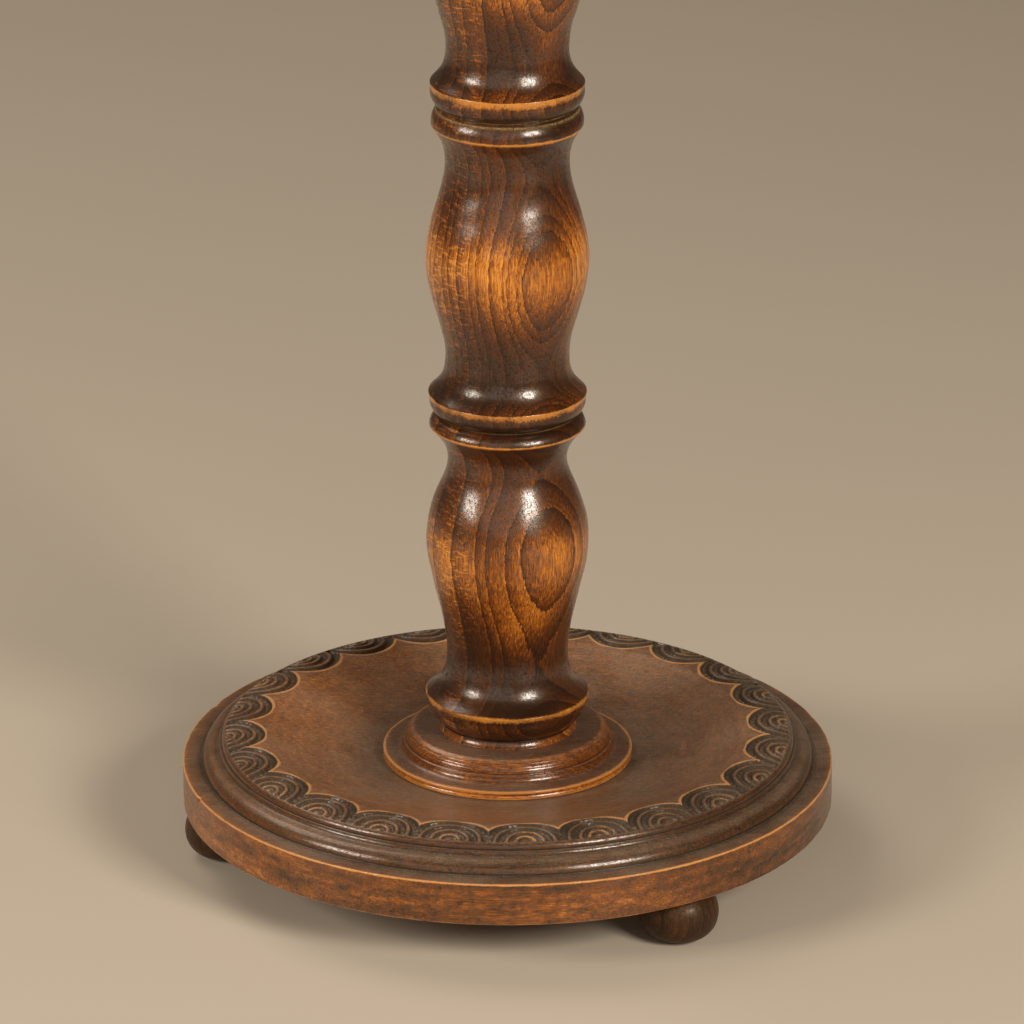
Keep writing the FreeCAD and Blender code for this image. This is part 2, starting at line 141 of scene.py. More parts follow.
@dataclass
class Outline:
    """Half a section through a turned piece, drawn from the axis below to the axis above."""

    fine: float = 0.1
    rounding: float = 0.22
    runs: list[np.ndarray] = field(default_factory=list)

    def start(self, radius: float, height: float) -> "Outline":
        """Sets the first point."""
        self.runs = [np.array([[radius, height]])]
        return self

    @property
    def last(self) -> np.ndarray:
        """The point that the outline has reached."""
        return self.runs[-1][-1]

    def line(self, *points: Point) -> "Outline":
        """Adds straight runs to the points."""
        for point in points:
            here, there = self.last, np.array(point, float)
            count = max(2, int(np.hypot(*(there - here)) / self.fine))
            self.runs.append(here + (there - here) * np.linspace(0, 1, count)[1:, None])
        return self

    def arc(self, point: Point, bulge: float) -> "Outline":
        """Adds an arc whose middle stands off its chord, outwards when bulge is positive.

        Args:
            point: the arc's end.
            bulge: distance of the arc's middle from the chord.

        Returns:
            The outline, so that calls can be chained.
        """
        here, there = self.last, np.array(point, float)
        chord = np.hypot(*(there - here))
        along = (there - here) / chord
        outward = np.array([along[1], -along[0]])
        radius = (chord**2 / 4 + bulge**2) / (2 * bulge)
        centre = (here + there) / 2 + outward * (bulge - radius)
        start = math.atan2(*(here - centre)[::-1])
        turn = math.atan2(*(there - centre)[::-1]) - start
        turn = (turn + math.pi) % (2 * math.pi) - math.pi
        count = max(4, int(abs(radius * turn) / self.fine))
        angle = start + turn * np.linspace(0, 1, count)[1:]
        self.runs.append(centre + abs(radius) * np.stack([np.cos(angle), np.sin(angle)], 1))
        return self

    def curve(self, *points: Point) -> "Outline":
        """Adds one smooth curve through the points."""
        self.runs.append(natural_spline(np.vstack([self.last, np.array(points)]), self.fine)[1:])
        return self

    def groove(self, height: float, depth: float = 0.35, width: float = 0.8) -> "Outline":
        """Sinks a fine groove into the last run where it passes a height."""
        run = self.runs[-1]
        run[:, 0] -= depth * np.exp(-((run[:, 1] - height) / (width / 2)) ** 2)
        return self

    def points(self, spans: Sequence[tuple[float, float, float]] = ()
               ) -> tuple[np.ndarray, np.ndarray]:
        """The outline with its arrises eased, sampled closely where it bends.

        Args:
            spans: (low radius, high radius, spacing) of stretches that need even close rows.

        Returns:
            (n, 2) points, and at each the turning per millimetre, positive on arrises.
        """
        path = np.vstack(self.runs)
        reach = int(3 * self.rounding / self.fine) + 1
        weight = np.exp(-0.5 * (np.arange(-reach, reach + 1) * self.fine / self.rounding) ** 2)
        padded = np.vstack([path[:1]] * reach + [path] + [path[-1:]] * reach)
        smooth = np.stack([np.convolve(padded[:, k], weight / weight.sum(), "valid")
                           for k in (0, 1)], 1)
        smooth[0], smooth[-1] = path[0], path[-1]
        step = np.diff(smooth, axis=0)
        length = np.maximum(np.hypot(*step.T), 1e-6)
        heading = np.unwrap(np.arctan2(step[:, 1], step[:, 0]))
        turning = np.concatenate([[0.0], np.diff(heading), [0.0]])
        cost = length / LONGEST_ROW + np.abs(turning[1:]) / TURN_PER_ROW
        for low, high, spacing in spans:
            middle = (smooth[1:, 0] + smooth[:-1, 0]) / 2
            cost = np.where((middle > low) & (middle < high), length / spacing, cost)
        total = np.concatenate([[0.0], np.cumsum(cost)])
        pick = np.linspace(0, total[-1], int(total[-1]) + 2)
        kept = np.stack([np.interp(pick, total, smooth[:, k]) for k in (0, 1)], 1)
        distance = np.concatenate([[0.0], np.cumsum(length)])
        bend = np.cumsum(turning)
        ahead = np.interp(distance + BEND_WINDOW, distance, bend)
        behind = np.interp(distance - BEND_WINDOW, distance, bend)
        rate = (ahead - behind) / (2 * BEND_WINDOW)
        return kept, np.interp(pick, total, rate)


# ------------------------------------------------------------------------------ meshes
def wander(theta: np.ndarray, height: np.ndarray, seed: int) -> np.ndarray:
    """A slow unevenness.

    Args:
        theta: azimuth of each vertex.
        height: height of each vertex.
        seed: which unevenness.

    Returns:
        Values between about -1 and 1, seamless round the axis.
    """
    random = np.random.default_rng(seed)
    total = np.zeros(np.broadcast(theta, height).shape)
    for _ in range(7):
        waves = random.integers(1, 6)
        pace = random.uniform(-0.09, 0.09)
        total += math.sqrt(2 / 7) * np.sin(waves * theta + pace * height + random.uniform(0, 6.3))
    return total


def streaks(theta: np.ndarray, height: np.ndarray, seed: int) -> np.ndarray:
    """Low strokes of mixed length that run round the axis.

    Args:
        theta: azimuth of each vertex.
        height: height of each vertex, or its radius on a level face.
        seed: which strokes.

    Returns:
        Values of about -1 to 1, seamless round the axis.
    """
    random = np.random.default_rng(seed)
    turn = (theta / (2 * math.pi)) % 1.0
    row = np.clip(height / STREAK_HEIGHT, 0, STREAK_ROWS - 1)
    total = np.zeros(theta.shape)
    for cells, size in ((36, 0.5), (130, 0.6), (420, 0.45)):
        grid = random.uniform(-1, 1, (STREAK_ROWS + 2, cells))
        column = turn * cells
        left, low = column.astype(int) % cells, row.astype(int)
        x, y = column % 1.0, row % 1.0
        near = grid[low, left] * (1 - x) + grid[low, (left + 1) % cells] * x
        far = grid[low + 1, left] * (1 - x) + grid[low + 1, (left + 1) % cells] * x
        total += size * (near * (1 - y) + far * y)
    return total


@dataclass
class Turning:
    """A turned mesh: an outline swept round the upright axis, with its masks.

    An outline that starts on the axis makes a closed end at each end, and any other outline ends
    where it starts. Arrises within the sheltered radius keep their stain.
    """

    name: str
    outline: Outline
    segments: int = 288
    spans: Sequence[tuple[float, float, float]] = ()
    stain: Callable[[np.ndarray, np.ndarray, np.ndarray], np.ndarray] | None = None
    wax: Callable[[np.ndarray, np.ndarray], np.ndarray] | None = None
    worn: Callable[[np.ndarray, np.ndarray], np.ndarray] | None = None
    relief: Relief | None = None
    masks: Callable[[np.ndarray, np.ndarray], dict[Paint, np.ndarray]] | None = None
    sheltered: float = -1.0

    def build(self) -> bpy.types.Object:
        """Makes the object, with one float attribute for each mask.

        Returns:
            The new object, linked to the scene, smooth shaded.
        """
        kept, rate = self.outline.points(self.spans)
        solid = kept[0, 0] < ON_AXIS
        inner = slice(1 if solid else 0, -1)
        rows = kept[inner]
        rate = rate[inner]
        theta = np.linspace(0, 2 * math.pi, self.segments, endpoint=False)
        radius = np.repeat(rows[:, :1], self.segments, 1)
        height = np.repeat(rows[:, 1:], self.segments, 1)
        angle = np.repeat(theta[None], len(rows), 0)
        paint = self._paint(radius, height, angle, np.repeat(rate[:, None], self.segments, 1))
        if self.relief:
            out, up = self.relief(radius, height, angle)
            radius, height = radius + out, height + up
        places = np.stack([radius * np.cos(angle), radius * np.sin(angle), height], -1)
        vertices = places.reshape(-1, 3)
        index = np.arange(len(rows) * self.segments).reshape(len(rows), self.segments)
        beside = np.roll(index, -1, axis=1)
        quads = np.stack([index[:-1], beside[:-1], beside[1:], index[1:]], -1).reshape(-1, 4)
        faces = quads.tolist()
        if solid:
            low, high = len(vertices), len(vertices) + 1
            ends = [[0, 0, kept[0, 1]], [0, 0, kept[-1, 1]]]
            vertices = np.vstack([vertices, ends])
            faces += [[low, b, a] for a, b in zip(index[0].tolist(), beside[0].tolist())]
            faces += [[high, a, b] for a, b in zip(index[-1].tolist(), beside[-1].tolist())]
        else:
            joint = np.stack([index[-1], beside[-1], beside[0], index[0]], -1)
            faces += joint.tolist()
        mesh = bpy.data.meshes.new(self.name)
        mesh.from_pydata((vertices * MM).tolist(), [], faces)
        mesh.polygons.foreach_set("use_smooth", np.ones(len(mesh.polygons), bool))
        for kind, values in paint.items():
            flat = np.zeros(len(vertices), np.float32)
            flat[:values.size] = values.ravel()
            mesh.attributes.new(kind.value, "FLOAT", "POINT").data.foreach_set("value", flat)
        mesh.update()
        made = bpy.data.objects.new(self.name, mesh)
        bpy.context.scene.collection.objects.link(made)
        return made

    def _paint(self, radius: np.ndarray, height: np.ndarray, angle: np.ndarray,
               rate: np.ndarray) -> dict[Paint, np.ndarray]:
        """Works out the masks of every vertex.

        Args:
            radius: radius of each vertex.
            height: height of each vertex.
            angle: azimuth of each vertex.
            rate: turning of the outline at each vertex.

        Returns:
            One array for each mask.
        """
        worn = soft_step(rate, 0.35, 1.0) * soft_step(radius, self.sheltered, self.sheltered + 0.5)
        if self.worn:
            worn = np.maximum(worn, self.worn(radius, height))
        cut = soft_step(-rate, 0.25, 1.0)
        stain = self.stain(radius, height, angle) if self.stain else np.full(radius.shape, 0.5)
        wax = self.wax(radius, height) if self.wax else np.zeros(radius.shape)
        found = {Paint.STAIN: stain, Paint.WORN: worn, Paint.WAX: wax, Paint.CUT_AND_SHADE: cut}
        if self.masks:
            for kind, values in self.masks(radius, angle).items():
                found[kind] = np.maximum(found[kind], values)
        return found


def settle(piece: bpy.types.Object, body: str, slot: str, finish: bpy.types.Material,
           *nodes: str) -> bpy.types.Object:
    """Dresses a piece, lets it ride and says which nodes it stands for.

    Args:
        piece: the new mesh object.
        body: the body that it moves with.
        slot: the record's material slot, not used.
        finish: the material.
        nodes: the plain solids that it replaces.

    Returns:
        The same piece.
    """
    piece.data.materials.clear()
    piece.data.materials.append(finish)
    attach(piece, body)
    if nodes:
        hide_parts(*nodes)
    log.info("%s: %d faces, rides on %s, stands for %s", piece.name, len(piece.data.polygons),
             body, ", ".join(nodes) or "itself")
    return piece


# ------------------------------------------------------------------------------ shader tools
class Graph:
    """Short ways of adding and linking shader nodes in one tree."""

    def __init__(self, tree: bpy.types.NodeTree) -> None:
        """Keeps the tree that the nodes go into."""
        self.tree = tree

    def add(self, kind: str, **settings: object) -> bpy.types.Node:
        """Adds a node and sets its properties."""
        node = self.tree.nodes.new(kind)
        for name, value in settings.items():
            setattr(node, name, value)
        return node

    def feed(self, socket: bpy.types.NodeSocket, value: Feed) -> None:
        """Links a socket to the socket given, or sets it to the value given."""
        if isinstance(value, bpy.types.NodeSocket):
            self.tree.links.new(value, socket)
        elif isinstance(value, tuple) and len(value) == 3 and socket.type == "RGBA":
            socket.default_value = (*value, 1.0)
        else:
            socket.default_value = value

    def math(self, operation: str, *feeds: Feed, clamp: bool = False) -> bpy.types.NodeSocket:
        """The result of a Math node."""
        node = self.add("ShaderNodeMath", operation=operation, use_clamp=clamp)
        for socket, value in zip(node.inputs, feeds):
            self.feed(socket, value)
        return node.outputs[0]

    def vector(self, operation: str, *feeds: Feed) -> bpy.types.NodeSocket:
        """The vector result of a Vector Math node."""
        node = self.add("ShaderNodeVectorMath", operation=operation)
        for socket, value in zip(node.inputs, feeds):
            self.feed(socket, value)
        return node.outputs[0]

    def split(self, vector: Feed) -> tuple[bpy.types.NodeSocket, ...]:
        """The three parts of a vector."""
        node = self.add("ShaderNodeSeparateXYZ")
        self.feed(node.inputs[0], vector)
        return tuple(node.outputs)

    def join(self, x: Feed, y: Feed, z: Feed) -> bpy.types.NodeSocket:
        """A vector from its three parts."""
        node = self.add("ShaderNodeCombineXYZ")
        for socket, value in zip(node.inputs, (x, y, z)):
            self.feed(socket, value)
        return node.outputs[0]

    def mix(self, share: Feed, low: Feed, high: Feed) -> bpy.types.NodeSocket:
        """A mix of two colours."""
        node = self.add("ShaderNodeMix", data_type="RGBA")
        for position, value in ((0, share), (6, low), (7, high)):
            self.feed(node.inputs[position], value)
        return node.outputs[2]

    def between(self, share: Feed, low: Feed, high: Feed) -> bpy.types.NodeSocket:
        """A mix of two numbers."""
        node = self.add("ShaderNodeMix", data_type="FLOAT")
        for position, value in ((0, share), (2, low), (3, high)):
            self.feed(node.inputs[position], value)
        return node.outputs[0]

    def step(self, value: Feed, low: Feed, high: Feed) -> bpy.types.NodeSocket:
        """A smooth 0 to 1 step between low and high."""
        node = self.add("ShaderNodeMapRange", interpolation_type="SMOOTHSTEP")
        for position, feed in ((0, value), (1, low), (2, high)):
            self.feed(node.inputs[position], feed)
        return node.outputs[0]

    def noise(self, place: Feed, scale: float = 1.0, detail: float = 2.0,
              roughness: float = 0.5) -> bpy.types.NodeSocket:
        """The value of a Noise Texture at a place."""
        node = self.add("ShaderNodeTexNoise")
        for name, value in (("Vector", place), ("Scale", scale), ("Detail", detail),
                            ("Roughness", roughness)):
            self.feed(node.inputs[name], value)
        return node.outputs["Fac"]

    def ramp(self, value: Feed, stops: Sequence[tuple[float, Colour]]) -> bpy.types.NodeSocket:
        """A colour looked up between stops."""
        node = self.add("ShaderNodeValToRGB")
        elements = node.color_ramp.elements
        while len(elements) < len(stops):
            elements.new(0.5)
        for element, (position, colour) in zip(elements, stops):
            element.position = position
            element.color = (*colour, 1.0)
        self.feed(node.inputs[0], value)
        return node.outputs[0]

    def mask(self, kind: Paint) -> bpy.types.NodeSocket:
        """A mask stored on the mesh."""
        return self.add("ShaderNodeAttribute", attribute_name=kind.value).outputs["Fac"]

    def reach(self, x: Feed, y: Feed) -> bpy.types.NodeSocket:
        """The length of a level vector."""
        squares = self.math("ADD", self.math("MULTIPLY", x, x), self.math("MULTIPLY", y, y))
        return self.math("SQRT", squares)

    def stretch(self, place: Feed, x: float, y: float, z: float) -> bpy.types.NodeSocket:
        """The place with each part multiplied."""
        return self.vector("MULTIPLY", place, (x, y, z))


@dataclass(frozen=True)
class Effect:
    """A shader node group that several finishes share, built once."""

    name: str
    inputs: tuple[tuple[str, str, float | tuple[float, ...]], ...]
    outputs: tuple[str, ...]
    draw: Callable[[Graph, dict[str, bpy.types.NodeSocket]], dict[str, bpy.types.NodeSocket]]

    def tree(self) -> bpy.types.NodeTree:
        """The group's node tree, made the first time that it's asked for."""
        known = bpy.data.node_groups.get(self.name)
        if known:
            return known
        made = bpy.data.node_groups.new(self.name, "ShaderNodeTree")
        for name, kind, value in self.inputs:
            socket = made.interface.new_socket(name, in_out="INPUT", socket_type=kind)
            socket.default_value = value
        for name in self.outputs:
            made.interface.new_socket(name, in_out="OUTPUT", socket_type="NodeSocketFloat")
        graph = Graph(made)
        source = graph.add("NodeGroupInput")
        sink = graph.add("NodeGroupOutput")
        drawn = self.draw(graph, {s.name: s for s in source.outputs if s.name})
        for name, value in drawn.items():
            graph.feed(sink.inputs[name], value)
        return made

    def place(self, graph: Graph, **feeds: Feed) -> dict[str, bpy.types.NodeSocket]:
        """Adds the group to a material and returns its outputs by name."""
        node = graph.add("ShaderNodeGroup", node_tree=self.tree())
        for name, value in feeds.items():
            graph.feed(node.inputs[name], value)
        return {socket.name: socket for socket in node.outputs}


VECTOR = "NodeSocketVector"
FLOAT = "NodeSocketFloat"


def draw_rings(graph: Graph, given: dict[str, bpy.types.NodeSocket]) -> dict[str, Feed]:
    """Year rings about a leaning pith, each darkening outwards to a serrated line.

    Args:
        graph: the group's graph.
        given: the group's inputs by name.

    Returns:
        Tone, line and bright edge of the rings.
    """
    seeded = graph.vector("ADD", given["Place"], graph.join(given["Seed"], 0.0, given["Seed"]))
    slow = graph.noise(graph.stretch(seeded, 0.030, 0.030, 0.012), detail=2.0)
    fibre = graph.noise(graph.stretch(seeded, 1.7, 1.7, 0.13), detail=3.0, roughness=0.6)
    x, y, z = graph.split(given["Place"])
    cosine, sine = graph.math("COSINE", given["Turn"]), graph.math("SINE", given["Turn"])
    toward = graph.math("ADD", graph.math("MULTIPLY", x, cosine), graph.math("MULTIPLY", y, sine))
    across = graph.math("SUBTRACT", graph.math("MULTIPLY", y, cosine),
                        graph.math("MULTIPLY", x, sine))
    away = graph.reach(graph.math("SUBTRACT", given["Pith"], toward), across)
    offset = graph.math("SUBTRACT", given["Pith"], away)
    offset = graph.math("SUBTRACT", offset, graph.math("MULTIPLY", z, given["Lean"]))
    for wave, size in ((slow, 6.0), (fibre, 1.9)):
        offset = graph.math("ADD", offset, graph.math("MULTIPLY", graph.math(
            "SUBTRACT", wave, 0.5), size))
    count = graph.math("DIVIDE", graph.math("SUBTRACT", given["First"], offset), given["Width"])
    count = graph.math("MAXIMUM", count, graph.math("MULTIPLY", count, 0.4))
    count = graph.math("MINIMUM", count, graph.math(
        "ADD", graph.math("MULTIPLY", count, 0.45), 1.6))
    count = graph.math("ADD", count, graph.math("MULTIPLY", graph.math(
        "SINE", graph.math("MULTIPLY", count, 2.3)), 0.16))
    share = graph.math("FRACT", graph.math("ADD", count, 40.0))
    return {"Tone": graph.math("POWER", share, 2.2), "Line": graph.step(share, 0.90, 0.985),
            "Edge": graph.math("SUBTRACT", 1.0, graph.step(share, 0.02, 0.14))}


def draw_rays(graph: Graph, given: dict[str, bpy.types.NodeSocket]) -> dict[str, Feed]:
    """Medullary rays: thin upright sheets that run from the pith.

    Args:
        graph: the group's graph.
        given: the group's inputs by name.

    Returns:
        The flecks where a surface runs along the rays, and the short ticks elsewhere.
    """
    x, y, z = graph.split(given["Place"])
    cosine, sine = graph.math("COSINE", given["Turn"]), graph.math("SINE", given["Turn"])
    radial = graph.math("ADD", graph.math("MULTIPLY", x, cosine), graph.math("MULTIPLY", y, sine))
    across = graph.math("SUBTRACT", graph.math("MULTIPLY", y, cosine),
                        graph.math("MULTIPLY", x, sine))
    curl = graph.noise(graph.stretch(given["Place"], 0.25, 0.25, 0.25), detail=1.0)
    place = graph.join(graph.math("MULTIPLY", radial, 0.16), graph.math("MULTIPLY", across, 0.22),
                       graph.math("ADD", graph.math("MULTIPLY", z, 1.05),
                                  graph.math("MULTIPLY", curl, 2.6)))
    sheet = graph.noise(graph.vector("ADD", place, graph.join(given["Seed"], 0.0, 0.0)), detail=1.0)
    spread = graph.math("MAXIMUM", graph.reach(x, y), 1.0)
    facing = graph.math("ABSOLUTE", graph.math("DIVIDE", across, spread))
    fleck = graph.math("MULTIPLY", graph.step(sheet, 0.56, 0.63), graph.step(facing, 0.80, 0.95))
    return {"Fleck": fleck, "Tick": graph.step(sheet, 0.62, 0.72)}


def draw_fibres(graph: Graph, given: dict[str, bpy.types.NodeSocket]) -> dict[str, Feed]:
    """Fine fibres and open pores, both long in the grain's direction.

    Args:
        graph: the group's graph.
        given: the group's inputs by name.

    Returns:
        The fibres' light and dark, and the pores.
    """
    seeded = graph.vector("ADD", given["Place"], graph.join(given["Seed"], given["Seed"], 0.0))
    fibre = graph.noise(graph.stretch(seeded, 1.5, 1.5, 0.14), detail=4.0, roughness=0.72)
    pores = graph.noise(graph.stretch(seeded, 3.4, 3.4, 0.62), detail=1.0)
    patch = graph.noise(graph.stretch(seeded, 0.09, 0.09, 0.04), detail=2.0)
    edge = graph.between(patch, 0.66, 0.54)
    pore = graph.step(pores, edge, graph.math("ADD", edge, 0.08))
    return {"Fibre": fibre, "Pore": pore}


def draw_wear(graph: Graph, given: dict[str, bpy.types.NodeSocket]) -> dict[str, Feed]:
    """Breaks the arris mask up, so that the stain is rubbed through unevenly.

    Args:
        graph: the group's graph.
        given: the group's inputs by name.

    Returns:
        The rubbed mask.
    """
    coarse = graph.noise(graph.stretch(given["Place"], 0.11, 0.11, 0.11), detail=2.0)
    fine = graph.noise(graph.stretch(given["Place"], 1.3, 1.3, 1.3), detail=3.0, roughness=0.7)
    level = graph.math("ADD", graph.math("MULTIPLY", coarse, 0.45),
                       graph.math("MULTIPLY", fine, 0.55))
    level = graph.math("SUBTRACT", level, 0.5)
    value = graph.math("ADD", given["Worn"], graph.math("MULTIPLY", level, given["Breakup"]))
    rubbed = graph.math("MULTIPLY", graph.step(value, 0.25, 0.95),
                        graph.step(given["Worn"], 0.02, 0.3))
    return {"Mask": rubbed}


def draw_nicks(graph: Graph, given: dict[str, bpy.types.NodeSocket]) -> dict[str, Feed]:
    """Sparse small knocks that show bare wood.

    Args:
        graph: the group's graph.
        given: the group's inputs by name.

    Returns:
        The knocks' mask.
    """
    wobble = graph.noise(graph.stretch(given["Place"], 0.9, 0.9, 0.9), detail=2.0)
    place = graph.vector("ADD", graph.stretch(given["Place"], 0.055, 0.055, 0.055),
                         graph.join(graph.math("MULTIPLY", wobble, 0.05), 0.0,
                                    graph.math("MULTIPLY", wobble, 0.03)))
    cells = graph.add("ShaderNodeTexVoronoi")
    graph.feed(cells.inputs["Vector"], place)
    red, green, _ = graph.split(cells.outputs["Color"])
    size = graph.math("MULTIPLY", graph.math("POWER", green, 3.0), 0.055)
    near = graph.math("SUBTRACT", 1.0, graph.step(cells.outputs["Distance"],
                      graph.math("MULTIPLY", size, 0.6), size))
    chosen = graph.math("LESS_THAN", red, given["Share"])
    return {"Mask": graph.math("MULTIPLY", near, chosen)}


def draw_dust(graph: Graph, given: dict[str, bpy.types.NodeSocket]) -> dict[str, Feed]:
    """A thin film of dust on level places and in cuts, with specks.

    Args:
        graph: the group's graph.
        given: the group's inputs by name.

    Returns:
        The film and the specks.
    """
    _, _, up = graph.split(graph.add("ShaderNodeNewGeometry").outputs["Normal"])
    cloud = graph.noise(graph.stretch(given["Place"], 0.03, 0.03, 0.03), detail=6.0,
                        roughness=0.7)
    level = graph.math("MULTIPLY", graph.step(up, 0.55, 0.98), graph.step(cloud, 0.10, 0.75))
    specks = graph.noise(graph.stretch(given["Place"], 1.7, 1.7, 1.7), detail=2.0, roughness=0.7)
    speck = graph.math("MULTIPLY", graph.step(specks, 0.61, 0.67), graph.step(up, 0.3, 0.9))
    cut = graph.math("MULTIPLY", given["Cut"], graph.step(up, 0.1, 0.8))
    grains = graph.noise(graph.stretch(given["Place"], 1.1, 1.1, 1.1), detail=3.0, roughness=0.75)
    level = graph.math("MULTIPLY", level, graph.between(graph.step(grains, 0.40, 0.60), 0.45, 1.0))
    film = graph.math("MAXIMUM", level, graph.math("MULTIPLY", cut, 0.25))
    return {"Film": film, "Speck": speck}


def draw_lathe_marks(graph: Graph, given: dict[str, bpy.types.NodeSocket]) -> dict[str, Feed]:
    """Faint rings that the lathe's gouge and sandpaper left.

    Args:
        graph: the group's graph.
        given: the group's inputs by name.

    Returns:
        The rings' height.
    """
    x, y, z = graph.split(given["Place"])
    spread = graph.reach(x, y)
    place = graph.join(graph.math("MULTIPLY", spread, 1.9), graph.math("MULTIPLY", z, 1.9), 0.0)
    return {"Height": graph.noise(place, detail=4.0, roughness=0.75)}


ZERO = (0.0, 0.0, 0.0)
YEAR_RINGS = Effect("year_rings", (("Place", VECTOR, ZERO), ("Turn", FLOAT, 0.0),
                                   ("Pith", FLOAT, 90.0), ("First", FLOAT, 33.0),
                                   ("Width", FLOAT, 4.0), ("Lean", FLOAT, 0.0),
                                   ("Seed", FLOAT, 0.0)),
                    ("Tone", "Line", "Edge"), draw_rings)
RAYS = Effect("medullary_rays", (("Place", VECTOR, ZERO), ("Turn", FLOAT, 0.0),
                                 ("Seed", FLOAT, 0.0)), ("Fleck", "Tick"), draw_rays)
FIBRES = Effect("fibres", (("Place", VECTOR, ZERO), ("Seed", FLOAT, 0.0)),
                ("Fibre", "Pore"), draw_fibres)
EDGE_WEAR = Effect("edge_wear", (("Place", VECTOR, ZERO), ("Worn", FLOAT, 0.0),
                                 ("Breakup", FLOAT, 2.6)), ("Mask",), draw_wear)
NICKS = Effect("nicks", (("Place", VECTOR, ZERO), ("Share", FLOAT, 0.25)), ("Mask",), draw_nicks)
DUST = Effect("dust", (("Place", VECTOR, ZERO), ("Cut", FLOAT, 0.0)), ("Film", "Speck"), draw_dust)
LATHE_MARKS = Effect("lathe_marks", (("Place", VECTOR, ZERO),), ("Height",), draw_lathe_marks)


# ------------------------------------------------------------------------------ finishes
def new_material(name: str) -> tuple[bpy.types.Material, Graph, bpy.types.Node]:
    """An empty node material with its Principled shader and output linked.

    Args:
        name: the material's name.

    Returns:
        The material, its graph and the shader node.
    """
    made = bpy.data.materials.new(name)
    made.use_nodes = True
    made.node_tree.nodes.clear()
    graph = Graph(made.node_tree)
    shader = graph.add("ShaderNodeBsdfPrincipled")
    sink = graph.add("ShaderNodeOutputMaterial")
    made.node_tree.links.new(shader.outputs[0], sink.inputs[0])
    return made, graph, shader


COLUMN_STAIN = ((0.0, (0.68, 0.28, 0.040)), (0.15, (0.56, 0.200, 0.023)),
                (0.33, (0.33, 0.098, 0.010)), (0.52, (0.140, 0.037, 0.0050)),
                (0.72, (0.058, 0.0155, 0.0034)), (1.0, (0.017, 0.0055, 0.0022)))
BASE_STAIN = ((0.0, (0.50, 0.19, 0.040)), (0.25, (0.250, 0.075, 0.012)),
              (0.5, (0.120, 0.040, 0.0105)), (0.75, (0.052, 0.021, 0.0080)),
              (1.0, (0.014, 0.0068, 0.0036)))


